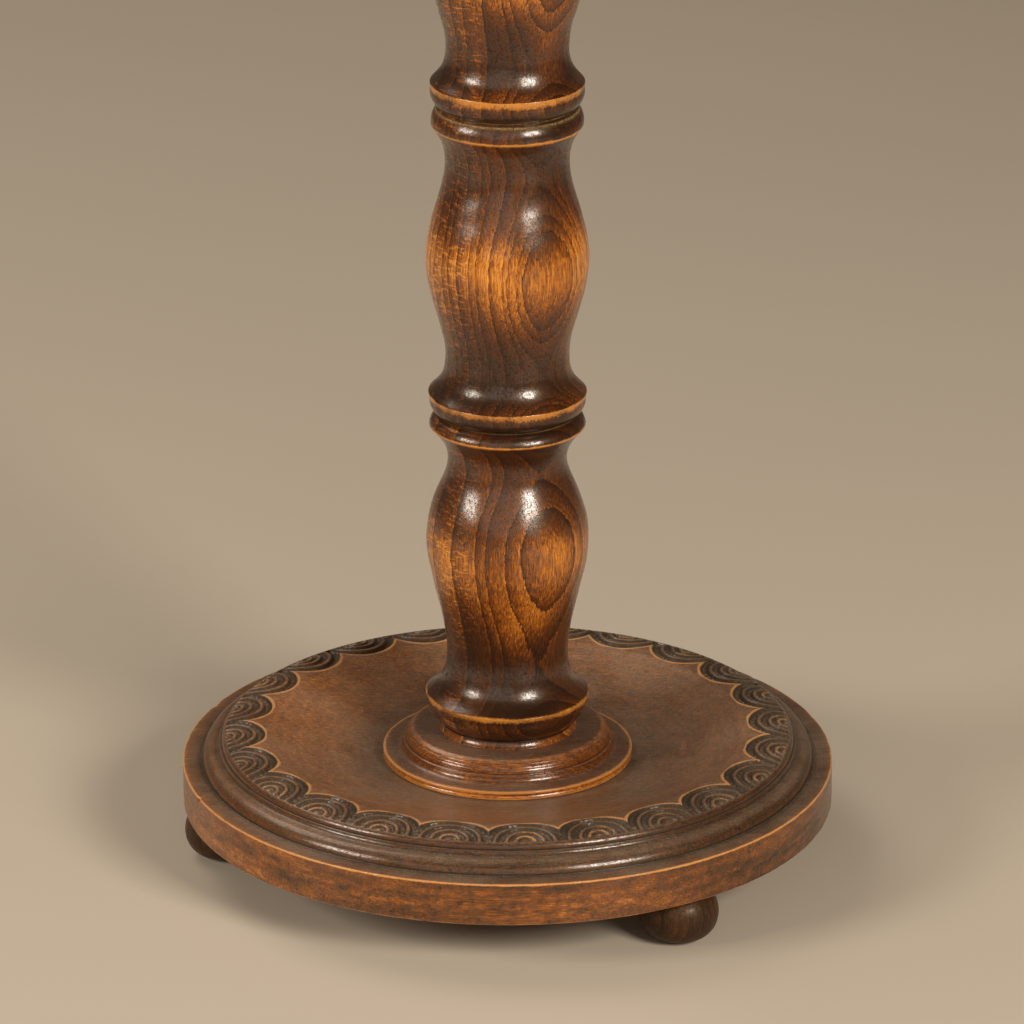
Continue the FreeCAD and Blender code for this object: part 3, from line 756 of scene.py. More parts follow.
@dataclass(frozen=True)
class BeechFinish:
    """Stained and polished beech, cut from a place of its own in the log."""

    name: str
    turn: float
    pith: float
    ring_width: float
    lean: float
    seed: float
    first_ring: float = 33.0
    stops: tuple[tuple[float, Colour], ...] = COLUMN_STAIN
    worn: Colour = (0.62, 0.235, 0.034)
    grain: GrainAxis = GrainAxis.UP
    ring_depth: float = 0.24
    line_depth: float = 0.16
    fleck_depth: float = 0.26
    pore_depth: float = 0.16
    fibre_depth: float = 1.35
    roughness: float = 0.30
    gloss: float = 1.0
    dust: float = 0.0
    bump: float = 0.4

    def build(self) -> bpy.types.Material:
        """Makes the material.

        Returns:
            The finished material.
        """
        made, graph, shader = new_material(self.name)
        raw = graph.add("ShaderNodeTexCoord").outputs["Object"]
        place = graph.vector("MULTIPLY", raw, (1 / MM, 1 / MM, 1 / MM))
        along = place
        if self.grain is GrainAxis.ALONG_X:
            x, y, z = graph.split(place)
            along = graph.join(y, z, x)
        turn = math.radians(self.turn)
        rings = YEAR_RINGS.place(graph, Place=along, Turn=turn, Pith=self.pith,
                                 First=self.first_ring, Width=self.ring_width,
                                 Lean=self.lean, Seed=self.seed)
        rays = RAYS.place(graph, Place=along, Turn=turn, Seed=self.seed)
        fibres = FIBRES.place(graph, Place=along, Seed=self.seed)
        worn = EDGE_WEAR.place(graph, Place=place, Worn=graph.mask(Paint.WORN))["Mask"]
        nicks = NICKS.place(graph, Place=place)["Mask"]
        dust = DUST.place(graph, Place=place, Cut=graph.mask(Paint.CUT_AND_SHADE))
        marks = LATHE_MARKS.place(graph, Place=place)["Height"]

        grime = graph.noise(graph.stretch(place, 0.42, 0.42, 0.42), detail=4.0, roughness=0.7)
        tone = graph.math("ADD", graph.mask(Paint.STAIN), graph.math(
            "MULTIPLY", graph.step(grime, 0.56, 0.70), 0.75 * self.dust))
        # The cut mask darkens hollows; in the carving's gouges that darkening is painted shade.
        for value, depth in ((rings["Tone"], self.ring_depth), (rings["Line"], self.line_depth),
                             (rings["Edge"], -0.5 * self.line_depth),
                             (rays["Fleck"], -self.fleck_depth), (rays["Tick"], 0.06),
                             (fibres["Pore"], self.pore_depth),
                             (graph.math("SUBTRACT", fibres["Fibre"], 0.5), self.fibre_depth),
                             (graph.mask(Paint.CUT_AND_SHADE), 0.68)):
            tone = graph.math("ADD", tone, graph.math("MULTIPLY", value, depth))
        colour = graph.ramp(tone, self.stops)
        rubbed = graph.mix(graph.math("MULTIPLY", fibres["Pore"], 0.35), self.worn,
                           graph.ramp(0.6, self.stops))
        colour = graph.mix(graph.math("MULTIPLY", worn, 0.8), colour, rubbed)
        colour = graph.mix(nicks, colour, (0.52, 0.30, 0.12))
        colour = graph.mix(graph.math("MULTIPLY", graph.mask(Paint.WAX), graph.step(
            fibres["Fibre"], 0.35, 0.65)), colour, (0.36, 0.25, 0.10))
        film = graph.math("MULTIPLY", dust["Film"], self.dust)
        colour = graph.mix(film, colour, (0.42, 0.32, 0.225))
        colour = graph.mix(graph.math("MULTIPLY", dust["Speck"], self.dust, clamp=True), colour,
                           (0.50, 0.38, 0.27))
        graph.feed(shader.inputs["Base Color"], colour)

        rough = graph.math("ADD", self.roughness, graph.math("MULTIPLY", fibres["Pore"], 0.22))
        rough = graph.math("ADD", rough, graph.math("MULTIPLY", film, 0.5))
        rough = graph.math("ADD", rough, graph.math("MULTIPLY", graph.mask(Paint.CUT_AND_SHADE), 0.25))
        graph.feed(shader.inputs["Roughness"], graph.math("ADD", rough, graph.math(
            "MULTIPLY", graph.math("SUBTRACT", marks, 0.5), 0.18), clamp=True))
        height = graph.math("ADD", graph.math("MULTIPLY", fibres["Fibre"], 1.1),
                            graph.math("MULTIPLY", fibres["Pore"], -0.8))
        height = graph.math("ADD", height, graph.math("MULTIPLY", rays["Fleck"], 0.25))
        height = graph.math("ADD", height, graph.math("MULTIPLY", marks, 0.5))
        height = graph.math("SUBTRACT", height, graph.math("MULTIPLY", nicks, 1.5))
        bump = graph.add("ShaderNodeBump")
        bump.inputs["Strength"].default_value = self.bump
        bump.inputs["Distance"].default_value = 0.2 * MM
        graph.feed(bump.inputs["Height"], height)
        graph.feed(shader.inputs["Normal"], bump.outputs[0])
        shader.inputs["Specular IOR Level"].default_value = STAIN_SHEEN
        shader.inputs["Specular Tint"].default_value = SHEEN_TINT
        dull = graph.math("MULTIPLY", dust["Film"], 1.6 * self.dust, clamp=True)
        dull = graph.math("MAXIMUM", graph.math("MAXIMUM", dull, fibres["Pore"]),
                          graph.math("MULTIPLY", graph.mask(Paint.CUT_AND_SHADE), 0.7))
        polish = graph.math("SUBTRACT", self.gloss, graph.math("MULTIPLY", dull,
                                                               0.9 * self.gloss), clamp=True)
        crazing = graph.noise(graph.stretch(place, 0.8, 0.8, 0.8), detail=4.0, roughness=0.8)
        polish = graph.math("MULTIPLY", polish, graph.step(crazing, 0.36, 0.52))
        graph.feed(shader.inputs["Coat Weight"], graph.math(
            "MULTIPLY", polish, graph.step(fibres["Fibre"], 0.34, 0.54)))
        shader.inputs["Coat Roughness"].default_value = POLISH_ROUGHNESS
        shader.inputs["Coat IOR"].default_value = POLISH_IOR
        return made


@dataclass(frozen=True)
class PlainBeechFinish:
    """Bare beech of the dowels, which nobody stains."""

    name: str = "plain_beech"

    def build(self) -> bpy.types.Material:
        """Makes the material."""
        made, graph, shader = new_material(self.name)
        raw = graph.add("ShaderNodeTexCoord").outputs["Object"]
        place = graph.vector("MULTIPLY", raw, (1 / MM, 1 / MM, 1 / MM))
        fibres = FIBRES.place(graph, Place=place, Seed=3.0)
        colour = graph.mix(fibres["Fibre"], (0.70, 0.48, 0.28), (0.50, 0.31, 0.16))
        graph.feed(shader.inputs["Base Color"],
                   graph.mix(fibres["Pore"], colour, (0.3, 0.16, 0.07)))
        graph.feed(shader.inputs["Roughness"], graph.between(fibres["Fibre"], 0.5, 0.7))
        return made


@dataclass(frozen=True)
class MetalFinish:
    """Turned or plated metal with tarnish and fine circular marks."""

    name: str
    clean: Colour
    dull: Colour
    roughness: float

    def build(self) -> bpy.types.Material:
        """Makes the material."""
        made, graph, shader = new_material(self.name)
        raw = graph.add("ShaderNodeTexCoord").outputs["Object"]
        place = graph.vector("MULTIPLY", raw, (1 / MM, 1 / MM, 1 / MM))
        marks = LATHE_MARKS.place(graph, Place=place)["Height"]
        cloud = graph.noise(graph.stretch(place, 0.12, 0.12, 0.12), detail=5.0, roughness=0.6)
        tarnish = graph.step(cloud, 0.38, 0.68)
        graph.feed(shader.inputs["Base Color"], graph.mix(tarnish, self.clean, self.dull))
        shader.inputs["Metallic"].default_value = 1.0
        rough = graph.math("ADD", graph.math("MULTIPLY", tarnish, 0.2),
                           graph.math("MULTIPLY", marks, 0.12))
        graph.feed(shader.inputs["Roughness"], graph.math("ADD", rough, self.roughness))
        bump = graph.add("ShaderNodeBump")
        bump.inputs["Strength"].default_value = 0.25
        bump.inputs["Distance"].default_value = 0.05 * MM
        graph.feed(bump.inputs["Height"], marks)
        graph.feed(shader.inputs["Normal"], bump.outputs[0])
        return made


# ------------------------------------------------------------------------------ carved base
@dataclass
class CarvedBase:
    """The disc of three boards, with its rim mouldings, its carved band and its dished field."""

    radius: float = 150.0
    rim: float = 20.0
    ledge: float = 141.2
    band_outer: float = 129.6
    band_inner: float = 111.4
    seat: float = 60.0
    bore: float = DOWEL_BORE
    lunettes: int = 24
    first_lunette: float = 273.5
    fan_centre: float = 130.3
    cuts: tuple[tuple[float, float, float], ...] = (
        (18.5, 14.0, 1.8), (12.9, 8.9, 1.5), (7.7, 5.1, 1.1), (3.7, 1.2, 0.9))
    seams: tuple[float, ...] = (-104.0, 40.0)
    # Stain level by radius. The darkening from radius 100 in to the collar is painted shade round
    # the collar.
    levels: tuple[Point, ...] = (
        (0, 0.84), (56, 0.84), (62, 0.70), (75, 0.55), (100, 0.43), (111, 0.43), (112, 0.46),
        (130, 0.68), (133, 0.78), (135, 0.70), (141, 0.72), (147, 0.66), (150, 0.4))
    # Azimuth, in degrees, towards which the top of the disc is painted lighter: a painted sheen.
    painted_sheen_side: float = 192.0
    segments: int = 1440

    def __post_init__(self) -> None:
        """Takes the heights from the frame."""
        low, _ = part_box("base_board_middle")
        self.bottom = low.z / MM
        self.top = self.bottom + self.rim
        random = np.random.default_rng(11)
        self.jitter = random.normal(0, 1, (self.lunettes, 3))

    def outline(self) -> Outline:
        """Half a section through the disc."""
        t = self.top
        line = Outline(rounding=0.3)
        line.start(self.bore, self.bottom).line((self.radius - 0.8, self.bottom))
        line.line((self.radius, self.bottom + 0.8), (self.radius, t), (self.ledge, t + 0.3))
        line.arc((134.6, t + 6.2), 1.9)
        line.arc((132.8, t + 8.8), -0.5)
        line.line((132.1, t + 8.4))
        line.arc((self.band_outer, t + 12.4), 0.9)
        line.arc((self.band_inner, t + 13.1), 0.9)
        line.arc((self.seat, t + 0.9), -1.6)
        line.line((self.bore, t + 0.9), (self.bore, self.bottom))
        return line

    def fan(self, radius: np.ndarray,
            angle: np.ndarray) -> tuple[np.ndarray, np.ndarray, np.ndarray]:
        """Where a vertex lies in the nearest fan of nested arcs.

        Args:
            radius: radius of each vertex.
            angle: azimuth of each vertex.

        Returns:
            The fan's number, the distance from its centre and the bearing there.
        """
        pitch = 2 * math.pi / self.lunettes
        first = math.radians(self.first_lunette)
        number = np.round((angle - first) / pitch).astype(int) % self.lunettes
        shift = self.jitter[number]
        centre = first + number * pitch + shift[..., 0] * 0.0035
        offset = (angle - centre + math.pi) % (2 * math.pi) - math.pi
        across = radius * np.sin(offset) / (1.0 + 0.012 * shift[..., 1])
        inward = self.fan_centre - radius * np.cos(offset) + shift[..., 2] * 0.2
        return number, np.hypot(across, inward), np.arctan2(across, np.maximum(inward, 0.01))

    def depth(self, radius: np.ndarray, angle: np.ndarray) -> np.ndarray:
        """How deep the carving goes.

        Args:
            radius: radius of each vertex.
            angle: azimuth of each vertex.

        Returns:
            The depth at each vertex, in millimetres.
        """
        number, reach, bearing = self.fan(radius, angle)
        total = np.zeros(radius.shape)
        for order, (outer, inner, deep) in enumerate(self.cuts):
            share = (outer - reach) / (outer - inner)
            wall = soft_step(share, 0.0, 0.26) * soft_step(share, 1.0, 0.62)
            chatter = 1 + 0.08 * np.sin(bearing * outer * 1.7 + number * 2.1 + order)
            total += deep * wall * chatter
        inside = soft_step(radius, self.fan_centre + 0.2, self.fan_centre - 0.7)
        return total * inside * soft_step(radius, 110.5, 111.2)

    def relief(self, radius: np.ndarray, height: np.ndarray,
               angle: np.ndarray) -> tuple[np.ndarray, np.ndarray]:
        """The carving, and a few knocks along the rim's arris.

        Args:
            radius: radius of each vertex.
            height: height of each vertex.
            angle: azimuth of each vertex.

        Returns:
            How far each vertex moves outwards and upwards.
        """
        down = np.where(height > self.top + 9, -self.depth(radius, angle), 0.0)
        knocks = np.zeros(radius.shape)
        random = np.random.default_rng(5)
        for _ in range(26):
            where, wide, deep = random.uniform(0, 2 * math.pi), random.uniform(0.004, 0.02), \
                random.uniform(0.15, 0.6)
            drop = random.uniform(-1.2, 0.4)
            off = (angle - where + math.pi) % (2 * math.pi) - math.pi
            knocks += deep * np.exp(-(off / wide) ** 2 - ((height - self.top - drop) / 0.9) ** 2)
        at_rim = soft_step(radius, 146.0, 149.0)
        return -knocks * at_rim, down - 0.5 * knocks * at_rim

    def masks(self, radius: np.ndarray, angle: np.ndarray) -> dict[Paint, np.ndarray]:
        """Rubbed ridges and lands of the carving, and painted shade in its cuts.

        Args:
            radius: radius of each vertex.
            angle: azimuth of each vertex.

        Returns:
            The worn mask and the cut mask.
        """
        _, reach, _ = self.fan(radius, angle)
        rows = soft_step(radius, 130.4, 129.6) * soft_step(radius, 110.6, 111.4)
        ridges = sum(share * np.exp(-((reach - place) / 0.85) ** 2) for place, share in
                     ((13.45, 0.40), (8.3, 0.65), (4.4, 1.0), (0.4, 1.2)))
        land = soft_step(reach, 18.3, 18.7) * soft_step(reach, 20.6, 19.2)
        inside = soft_step(radius, self.fan_centre + 0.2, self.fan_centre - 0.7)
        # Painted shade in the gouges, darkest next to their walls.
        deep = np.zeros(radius.shape)
        for outer, inner, depth in self.cuts:
            share = (outer - reach) / (outer - inner)
            middle = soft_step(share, 0.0, 0.1) * soft_step(share, 1.0, 0.85)
            near = np.exp(-((share - 0.16) / 0.14) ** 2)
            far = np.exp(-((share - 0.86) / 0.12) ** 2)
            deep += (0.45 * middle + 0.55 * (near + 0.6 * far)) * depth / 1.5
        return {Paint.WORN: np.clip(np.maximum(ridges * 0.55, land), 0, 1) * rows,
                Paint.CUT_AND_SHADE: np.clip(deep, 0, 1) * inside * rows}

    def stain(self, radius: np.ndarray, height: np.ndarray, angle: np.ndarray) -> np.ndarray:
        """Darker beside the mouldings, lighter on the open field, and darker round the collar as
        painted shade; lighter towards the left of the top as painted sheen.

        Args:
            radius: radius of each vertex.
            height: height of each vertex.
            angle: azimuth of each vertex.

        Returns:
            The stain of each vertex.
        """
        level = np.interp(radius, *zip(*self.levels))
        rim = soft_step(radius, 149.3, 149.9)
        side = 0.43 + 0.06 * wander(angle, height * 3, 8) + 0.10 * np.cos(angle - math.radians(340))
        side = side + 0.26 * streaks(angle, height - self.bottom, 12)
        level = level * (1 - rim) + side * rim
        # Painted sheen: the top of the disc beyond radius 62 is painted lighter towards the left,
        # about 192 degrees.
        painted_sheen = soft_step(np.cos(angle - math.radians(self.painted_sheen_side)), 0.2, 1.0)
        level = level - 0.16 * painted_sheen * (1 - rim) * soft_step(radius, 62.0, 85.0)
        turned = 0.07 * streaks(angle * 0, radius * 0.9 % 50, 14)
        turned += 0.05 * streaks(angle, radius % 50, 15)
        return level + 0.03 * wander(angle, radius, 3) + turned * (1 - rim)

    def build(self) -> None:
        """Makes the whole disc, saws it into its boards and dresses them."""
        disc = Turning("base_disc", self.outline(), self.segments,
                       spans=((110.4, 131.2, 0.36),), stain=self.stain, relief=self.relief,
                       masks=self.masks).build()
        finishes = {"front": (8.0, -70.0), "middle": (-5.0, -110.0), "rear": (12.0, -60.0)}
        edges = (-1e4, *self.seams, 1e4)
        for (name, (turn, pith)), near, far in zip(finishes.items(), edges, edges[1:]):
            board = self.saw(disc, f"carved_board_{name}", near, far)
            finish = BeechFinish(f"base_beech_{name}", 90.0 + turn, pith, 5.5, 0.02, 20.0 + turn,
                                 stops=BASE_STAIN, worn=(0.68, 0.29, 0.075),
                                 grain=GrainAxis.ALONG_X, ring_depth=0.05, line_depth=0.03,
                                 fleck_depth=0.04, pore_depth=0.16, fibre_depth=1.5,
                                 roughness=0.36, gloss=0.9, dust=0.35).build()
            settle(board, STAND, "base_wood", finish, f"base_board_{name}")
        bpy.data.objects.remove(disc)

    def saw(self, disc: bpy.types.Object, name: str, near: float, far: float) -> bpy.types.Object:
        """Cuts one board out of the disc.

        Args:
            disc: the whole disc.
            name: the board's name.
            near: the board's lower Y limit, in millimetres.
            far: its upper Y limit.

        Returns:
            The board, closed on its sawn faces.
        """
        mesh = bpy.data.meshes.new(name)
        work = bmesh.new()
        work.from_mesh(disc.data)
        for limit, side in ((near, -1.0), (far, 1.0)):
            if abs(limit) > self.radius:
                continue
            parts = work.verts[:] + work.edges[:] + work.faces[:]
            cut = bmesh.ops.bisect_plane(work, geom=parts, dist=1e-7, plane_co=(0, limit * MM, 0),
                                         plane_no=(0, side, 0), clear_outer=True)
            rim = [e for e in cut["geom_cut"] if isinstance(e, bmesh.types.BMEdge)]
            made = bmesh.ops.triangle_fill(work, use_beauty=True, edges=rim)
            for face in made["geom"]:
                if isinstance(face, bmesh.types.BMFace):
                    face.smooth = False
            for edge in rim:
                edge.smooth = False
        bmesh.ops.recalc_face_normals(work, faces=work.faces[:])
        work.to_mesh(mesh)
        work.free()
        board = bpy.data.objects.new(name, mesh)
        bpy.context.scene.collection.objects.link(board)
        return board


# ------------------------------------------------------------------------------ feet and collar
@dataclass
class BallFeet:
    """Three flattened balls under the disc."""

    names: tuple[str, ...] = ("front_right", "back", "left")
    pad: float = 7.0
    neck: float = 12.5
    dowel: float = 5.05

    def build(self) -> None:
        """Makes each foot round its own axis."""
        for number, name in enumerate(self.names):
            low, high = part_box(f"foot_{name}")
            tall = (high.z - low.z) / MM
            wide = (high.x - low.x) / MM / 2 - 0.02
            equator = 0.555 * tall
            line = Outline().start(0, 0).line((self.pad, 0))
            line.curve((wide - 3.7, equator * 0.28), (wide, equator),
                       (wide - 1.6, equator + (tall - equator) * 0.55), (self.neck, tall))
            line.line((self.dowel, tall), (self.dowel, tall - 14), (0, tall - 14))
            foot = Turning(f"ball_foot_{name}", line, 160,
                           stain=lambda r, z, a: 0.80 + 0.05 * wander(a, z, 9)).build()
            foot.location = ((low.x + high.x) / 2, (low.y + high.y) / 2, low.z)
            finish = BeechFinish(f"foot_beech_{name}", 20.0 + 70 * number, 30.0, 2.1, 0.05,
                                 40.0 + number, stops=BASE_STAIN, ring_depth=0.12,
                                 line_depth=0.14, fleck_depth=0.06, roughness=0.45,
                                 fibre_depth=1.0, gloss=0.12).build()
            settle(foot, STAND, "foot_wood", finish, f"foot_{name}")


@dataclass
class Collar:
    """The turned ring between the disc and the column."""

    flange: float = 57.5
    edge: float = 4.2
    flat: float = 50.5
    step: float = 48.2
    crown: float = 43.0
    bore: float = DOWEL_BORE

    def build(self) -> None:
        """Makes the collar with the fine beads on its slope."""
        low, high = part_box("collar")
        z0, z1 = low.z / MM, high.z / MM
        line = Outline(rounding=0.25).start(self.bore, z0).line((self.flange - 0.9, z0))
        line.arc((self.flange, z0 + 0.9), 0.3).line((self.flange, z0 + self.edge))
        line.groove(z0 + 2.3, 0.5, 0.7)
        line.line((self.flat, z0 + self.edge + 0.2)).arc((self.step, z0 + 7.9), -0.7)
        line.line((self.step - 0.9, z0 + 8.3)).arc((self.crown, z1), 1.3)
        for height, depth in ((9.4, 0.16), (10.8, 0.22), (12.6, 0.3)):
            line.groove(z0 + height, depth, 0.5)
        line.line((self.bore, z1), (self.bore, z0))

        def stain(radius: np.ndarray, height: np.ndarray, angle: np.ndarray) -> np.ndarray:
            """Dark on the flats, mid on the slope."""
            flat = np.interp(radius, [30, 42.5, 43.5, 47, 49, 52, 56.5, 57.3],
                             [0.7, 0.66, 0.44, 0.52, 0.60, 0.66, 0.64, 0.30])
            return flat + 0.05 * wander(angle, height, 4)

        def rubbed(radius: np.ndarray, height: np.ndarray) -> np.ndarray:
            """Orange rings on the slope's beads."""
            found = np.zeros(radius.shape)
            for ring in (9.9, 11.5, 13.3):
                found += 0.22 * np.exp(-((height - z0 - ring) / 0.35) ** 2)
            return found * soft_step(radius, 42.0, 43.2) * soft_step(radius, 48.5, 47.5)

        ring = Turning("collar_turned", line, 320, stain=stain, worn=rubbed).build()
        finish = BeechFinish("collar_beech", 70.0, 85.0, 3.2, 0.03, 61.0, ring_depth=0.08,
                             line_depth=0.08, grain=GrainAxis.ALONG_X, fleck_depth=0.06,
                             worn=(0.50, 0.20, 0.050), dust=0.28).build()
        settle(ring, STAND, "turned_wood", finish, "collar")


# ------------------------------------------------------------------------------ column
@dataclass
class Baluster:
    """One section of the column: ring, neck, belly, neck and ring."""

    number: int
    finish: BeechFinish
    seat: float = 31.0
    foot: float = 31.0
    foot_neck: Point | None = None
    ring_low: Point = (35.8, 7.6)
    ring_high: Point = (36.2, 9.9)
    waist: tuple[Point, ...] = ((30.6, 16.4), (28.3, 25.6), (28.4, 31.0), (32.5, 49.0))
    belly: Point = (37.1, 73.6)
    shoulder: tuple[Point, ...] = ((32.3, 99.4), (28.2, 121.6), (30.6, 131.2))
    top_ring: Point = (34.5, 137.2)
    bore: float = DOWEL_BORE
    dark_side: float = 312.0
    low_bore: float = 30.0
    high_bore: float = 30.0
    toner: tuple[tuple[float, float], ...] = (
        (0.0, 0.92), (0.05, 0.56), (0.075, 0.55), (0.10, 0.74), (0.16, 0.70), (0.24, 0.60),
        (0.34, 0.46), (0.42, 0.28), (0.50, 0.12), (0.57, 0.17), (0.64, 0.40), (0.72, 0.54),
        (0.82, 0.64), (0.90, 0.62), (0.935, 0.60), (0.965, 0.60), (1.0, 0.70))
    wax_rings: tuple[float, ...] = (31.2,)

    def __post_init__(self) -> None:
        """Takes the heights from the frame."""
        low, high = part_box(f"column_section_{self.number}")
        self.bottom, self.length = low.z / MM, (high.z - low.z) / MM

    def outline(self) -> Outline:
        """Half a section through the baluster, with both dowel bores."""
        z, n = self.bottom, self.length

        def up(point: Point) -> Point:
            """A point raised to the section's own bottom."""
            return point[0], point[1] + z

        line = Outline().start(0, z + self.low_bore).line((self.bore, z + self.low_bore),
                                                          (self.bore, z), (self.foot, z))
        if self.foot_neck:
            line.arc(up(self.foot_neck), -0.4)
        line.arc(up(self.ring_low), 1.5).line(up(self.ring_high))
        line.curve(*(up(p) for p in (*self.waist, self.belly, *self.shoulder, self.top_ring)))
        line.arc((self.seat, z + n), 1.2)
        line.line((self.bore, z + n), (self.bore, z + n - self.high_bore),
                  (0, z + n - self.high_bore))
        return line

    def stain(self, radius: np.ndarray, height: np.ndarray, angle: np.ndarray) -> np.ndarray:
        """The sprayed toner, dark by the rings and honey on the belly; uneven round the axis, and
        darker on the left side as painted shade.
        """
        places, levels = zip(*self.toner)
        share = (height - self.bottom) / self.length + 0.018 * wander(angle, height, self.number)
        level = np.interp(np.clip(share, 0, 1), places, levels)
        shoulder = soft_step(share, 0.56, 0.68)
        low_neck = soft_step(share, 0.09, 0.15) * soft_step(share, 0.42, 0.28)
        # Round the low neck: darker at 273 degrees and every 120 degrees on from it, a little
        # lighter between.
        neck_lobes = np.cos(3 * (angle - math.radians(273)))
        level = level + 0.04 + low_neck * np.maximum(0.19 * neck_lobes, 0.06 * neck_lobes)
        # Painted shade: every section is darker on its left side, about 195 degrees.
        level = level + 0.10 * soft_step(np.cos(angle - math.radians(195)), 0.3, 1.0)
        # Darker on the shoulder towards the dark side, lighter on the opposite side.
        level = level + 0.13 * shoulder * np.cos(angle - math.radians(self.dark_side))
        return level + 0.06 * wander(angle, height, self.number + 30)

    def rubbed(self, radius: np.ndarray, height: np.ndarray) -> np.ndarray:
        """The band of the lower ring and the lip of the upper one, rubbed to bare wood."""
        z = self.bottom
        band = 0.85 * soft_step(height, z + self.ring_low[1] - 2.4, z + self.ring_high[1] - 0.3) * \
            soft_step(height, z + self.ring_high[1] + 0.5, z + self.ring_high[1] - 0.2)
        lip = 1.0 * np.exp(-((height - z - self.top_ring[1]) / 0.8) ** 2)
        return np.maximum(band, lip) * soft_step(radius, 20.0, 30.0)

    def wax(self, radius: np.ndarray, height: np.ndarray) -> np.ndarray:
        """Old polish and glue in the joint above."""
        near = soft_step(height, self.bottom + self.length - 4.0, self.bottom + self.length - 2.5)
        return near * sum(np.exp(-((radius - ring) / 0.3) ** 2) for ring in self.wax_rings)

    def build(self) -> None:
        """Makes and dresses the section."""
        shape = Turning(f"baluster_{self.number}", self.outline(), 288, stain=self.stain,
                        worn=self.rubbed, wax=self.wax, relief=self.relief,
                        sheltered=self.foot + 1.0).build()
        settle(shape, STAND, "turned_wood", self.finish.build(),
               f"column_section_{self.number}")

    def relief(self, radius: np.ndarray, height: np.ndarray,
               angle: np.ndarray) -> tuple[np.ndarray, np.ndarray]:
        """Slight unevenness of hand turning, inside the section's own outline."""
        outer = soft_step(radius, 20.0, 25.0)
        sag = 0.06 * (wander(angle, height * 6, 50 + self.number) - 1.5)
        return np.minimum(sag, 0.0) * outer, np.zeros(radius.shape)


def column_sections() -> tuple[Baluster, ...]:
    """The four sections, each from its own blank.

    Returns:
        The balusters, from the floor up.
    """
    first = Baluster(
        1, BeechFinish("section_1_beech", 303.0, 110.0, 5.6, 0.0, 4.0, 32.2),
        foot=32.0, foot_neck=(30.2, 3.6), ring_low=(37.5, 15.8), ring_high=(37.9, 17.4),
        waist=((31.2, 23.6), (28.3, 31.5), (28.3, 44.5), (32.4, 65.2)), belly=(37.2, 95.5),
        shoulder=((32.6, 115.2), (27.3, 132.4), (30.3, 141.6)), top_ring=(35.8, 148.2),
        low_bore=36.0,
        toner=((0.0, 0.42), (0.03, 0.6), (0.05, 0.62), (0.09, 0.55), (0.12, 0.74), (0.16, 0.72),
               (0.26, 0.70), (0.36, 0.54), (0.46, 0.36), (0.56, 0.22), (0.64, 0.20),
               (0.71, 0.44), (0.80, 0.54), (0.92, 0.64), (0.97, 0.60), (1.0, 0.70)))
    second = Baluster(2, BeechFinish("section_2_beech", 303.0, 100.0, 2.3, 0.0, 9.0, 33.1),
                      wax_rings=(30.9, 32.6))
    slim = dict(ring_low=(34.6, 7.8), ring_high=(34.9, 10.6),
                waist=((30.0, 16.8), (27.8, 25.8), (27.9, 31.0), (32.5, 49.0)),
                belly=(36.7, 73.6), top_ring=(34.2, 137.2))
    third = Baluster(3, BeechFinish("section_3_beech", 310.0, 96.0, 4.0, 0.0, 17.0, 33.0), **slim)
    slim.update(ring_low=(34.2, 7.8), ring_high=(34.5, 10.4), belly=(36.3, 73.6),
                top_ring=(33.8, 137.2))
    fourth = Baluster(4, BeechFinish("section_4_beech", 40.0, 90.0, 3.4, 0.02, 23.0), **slim)
    return first, second, third, fourth


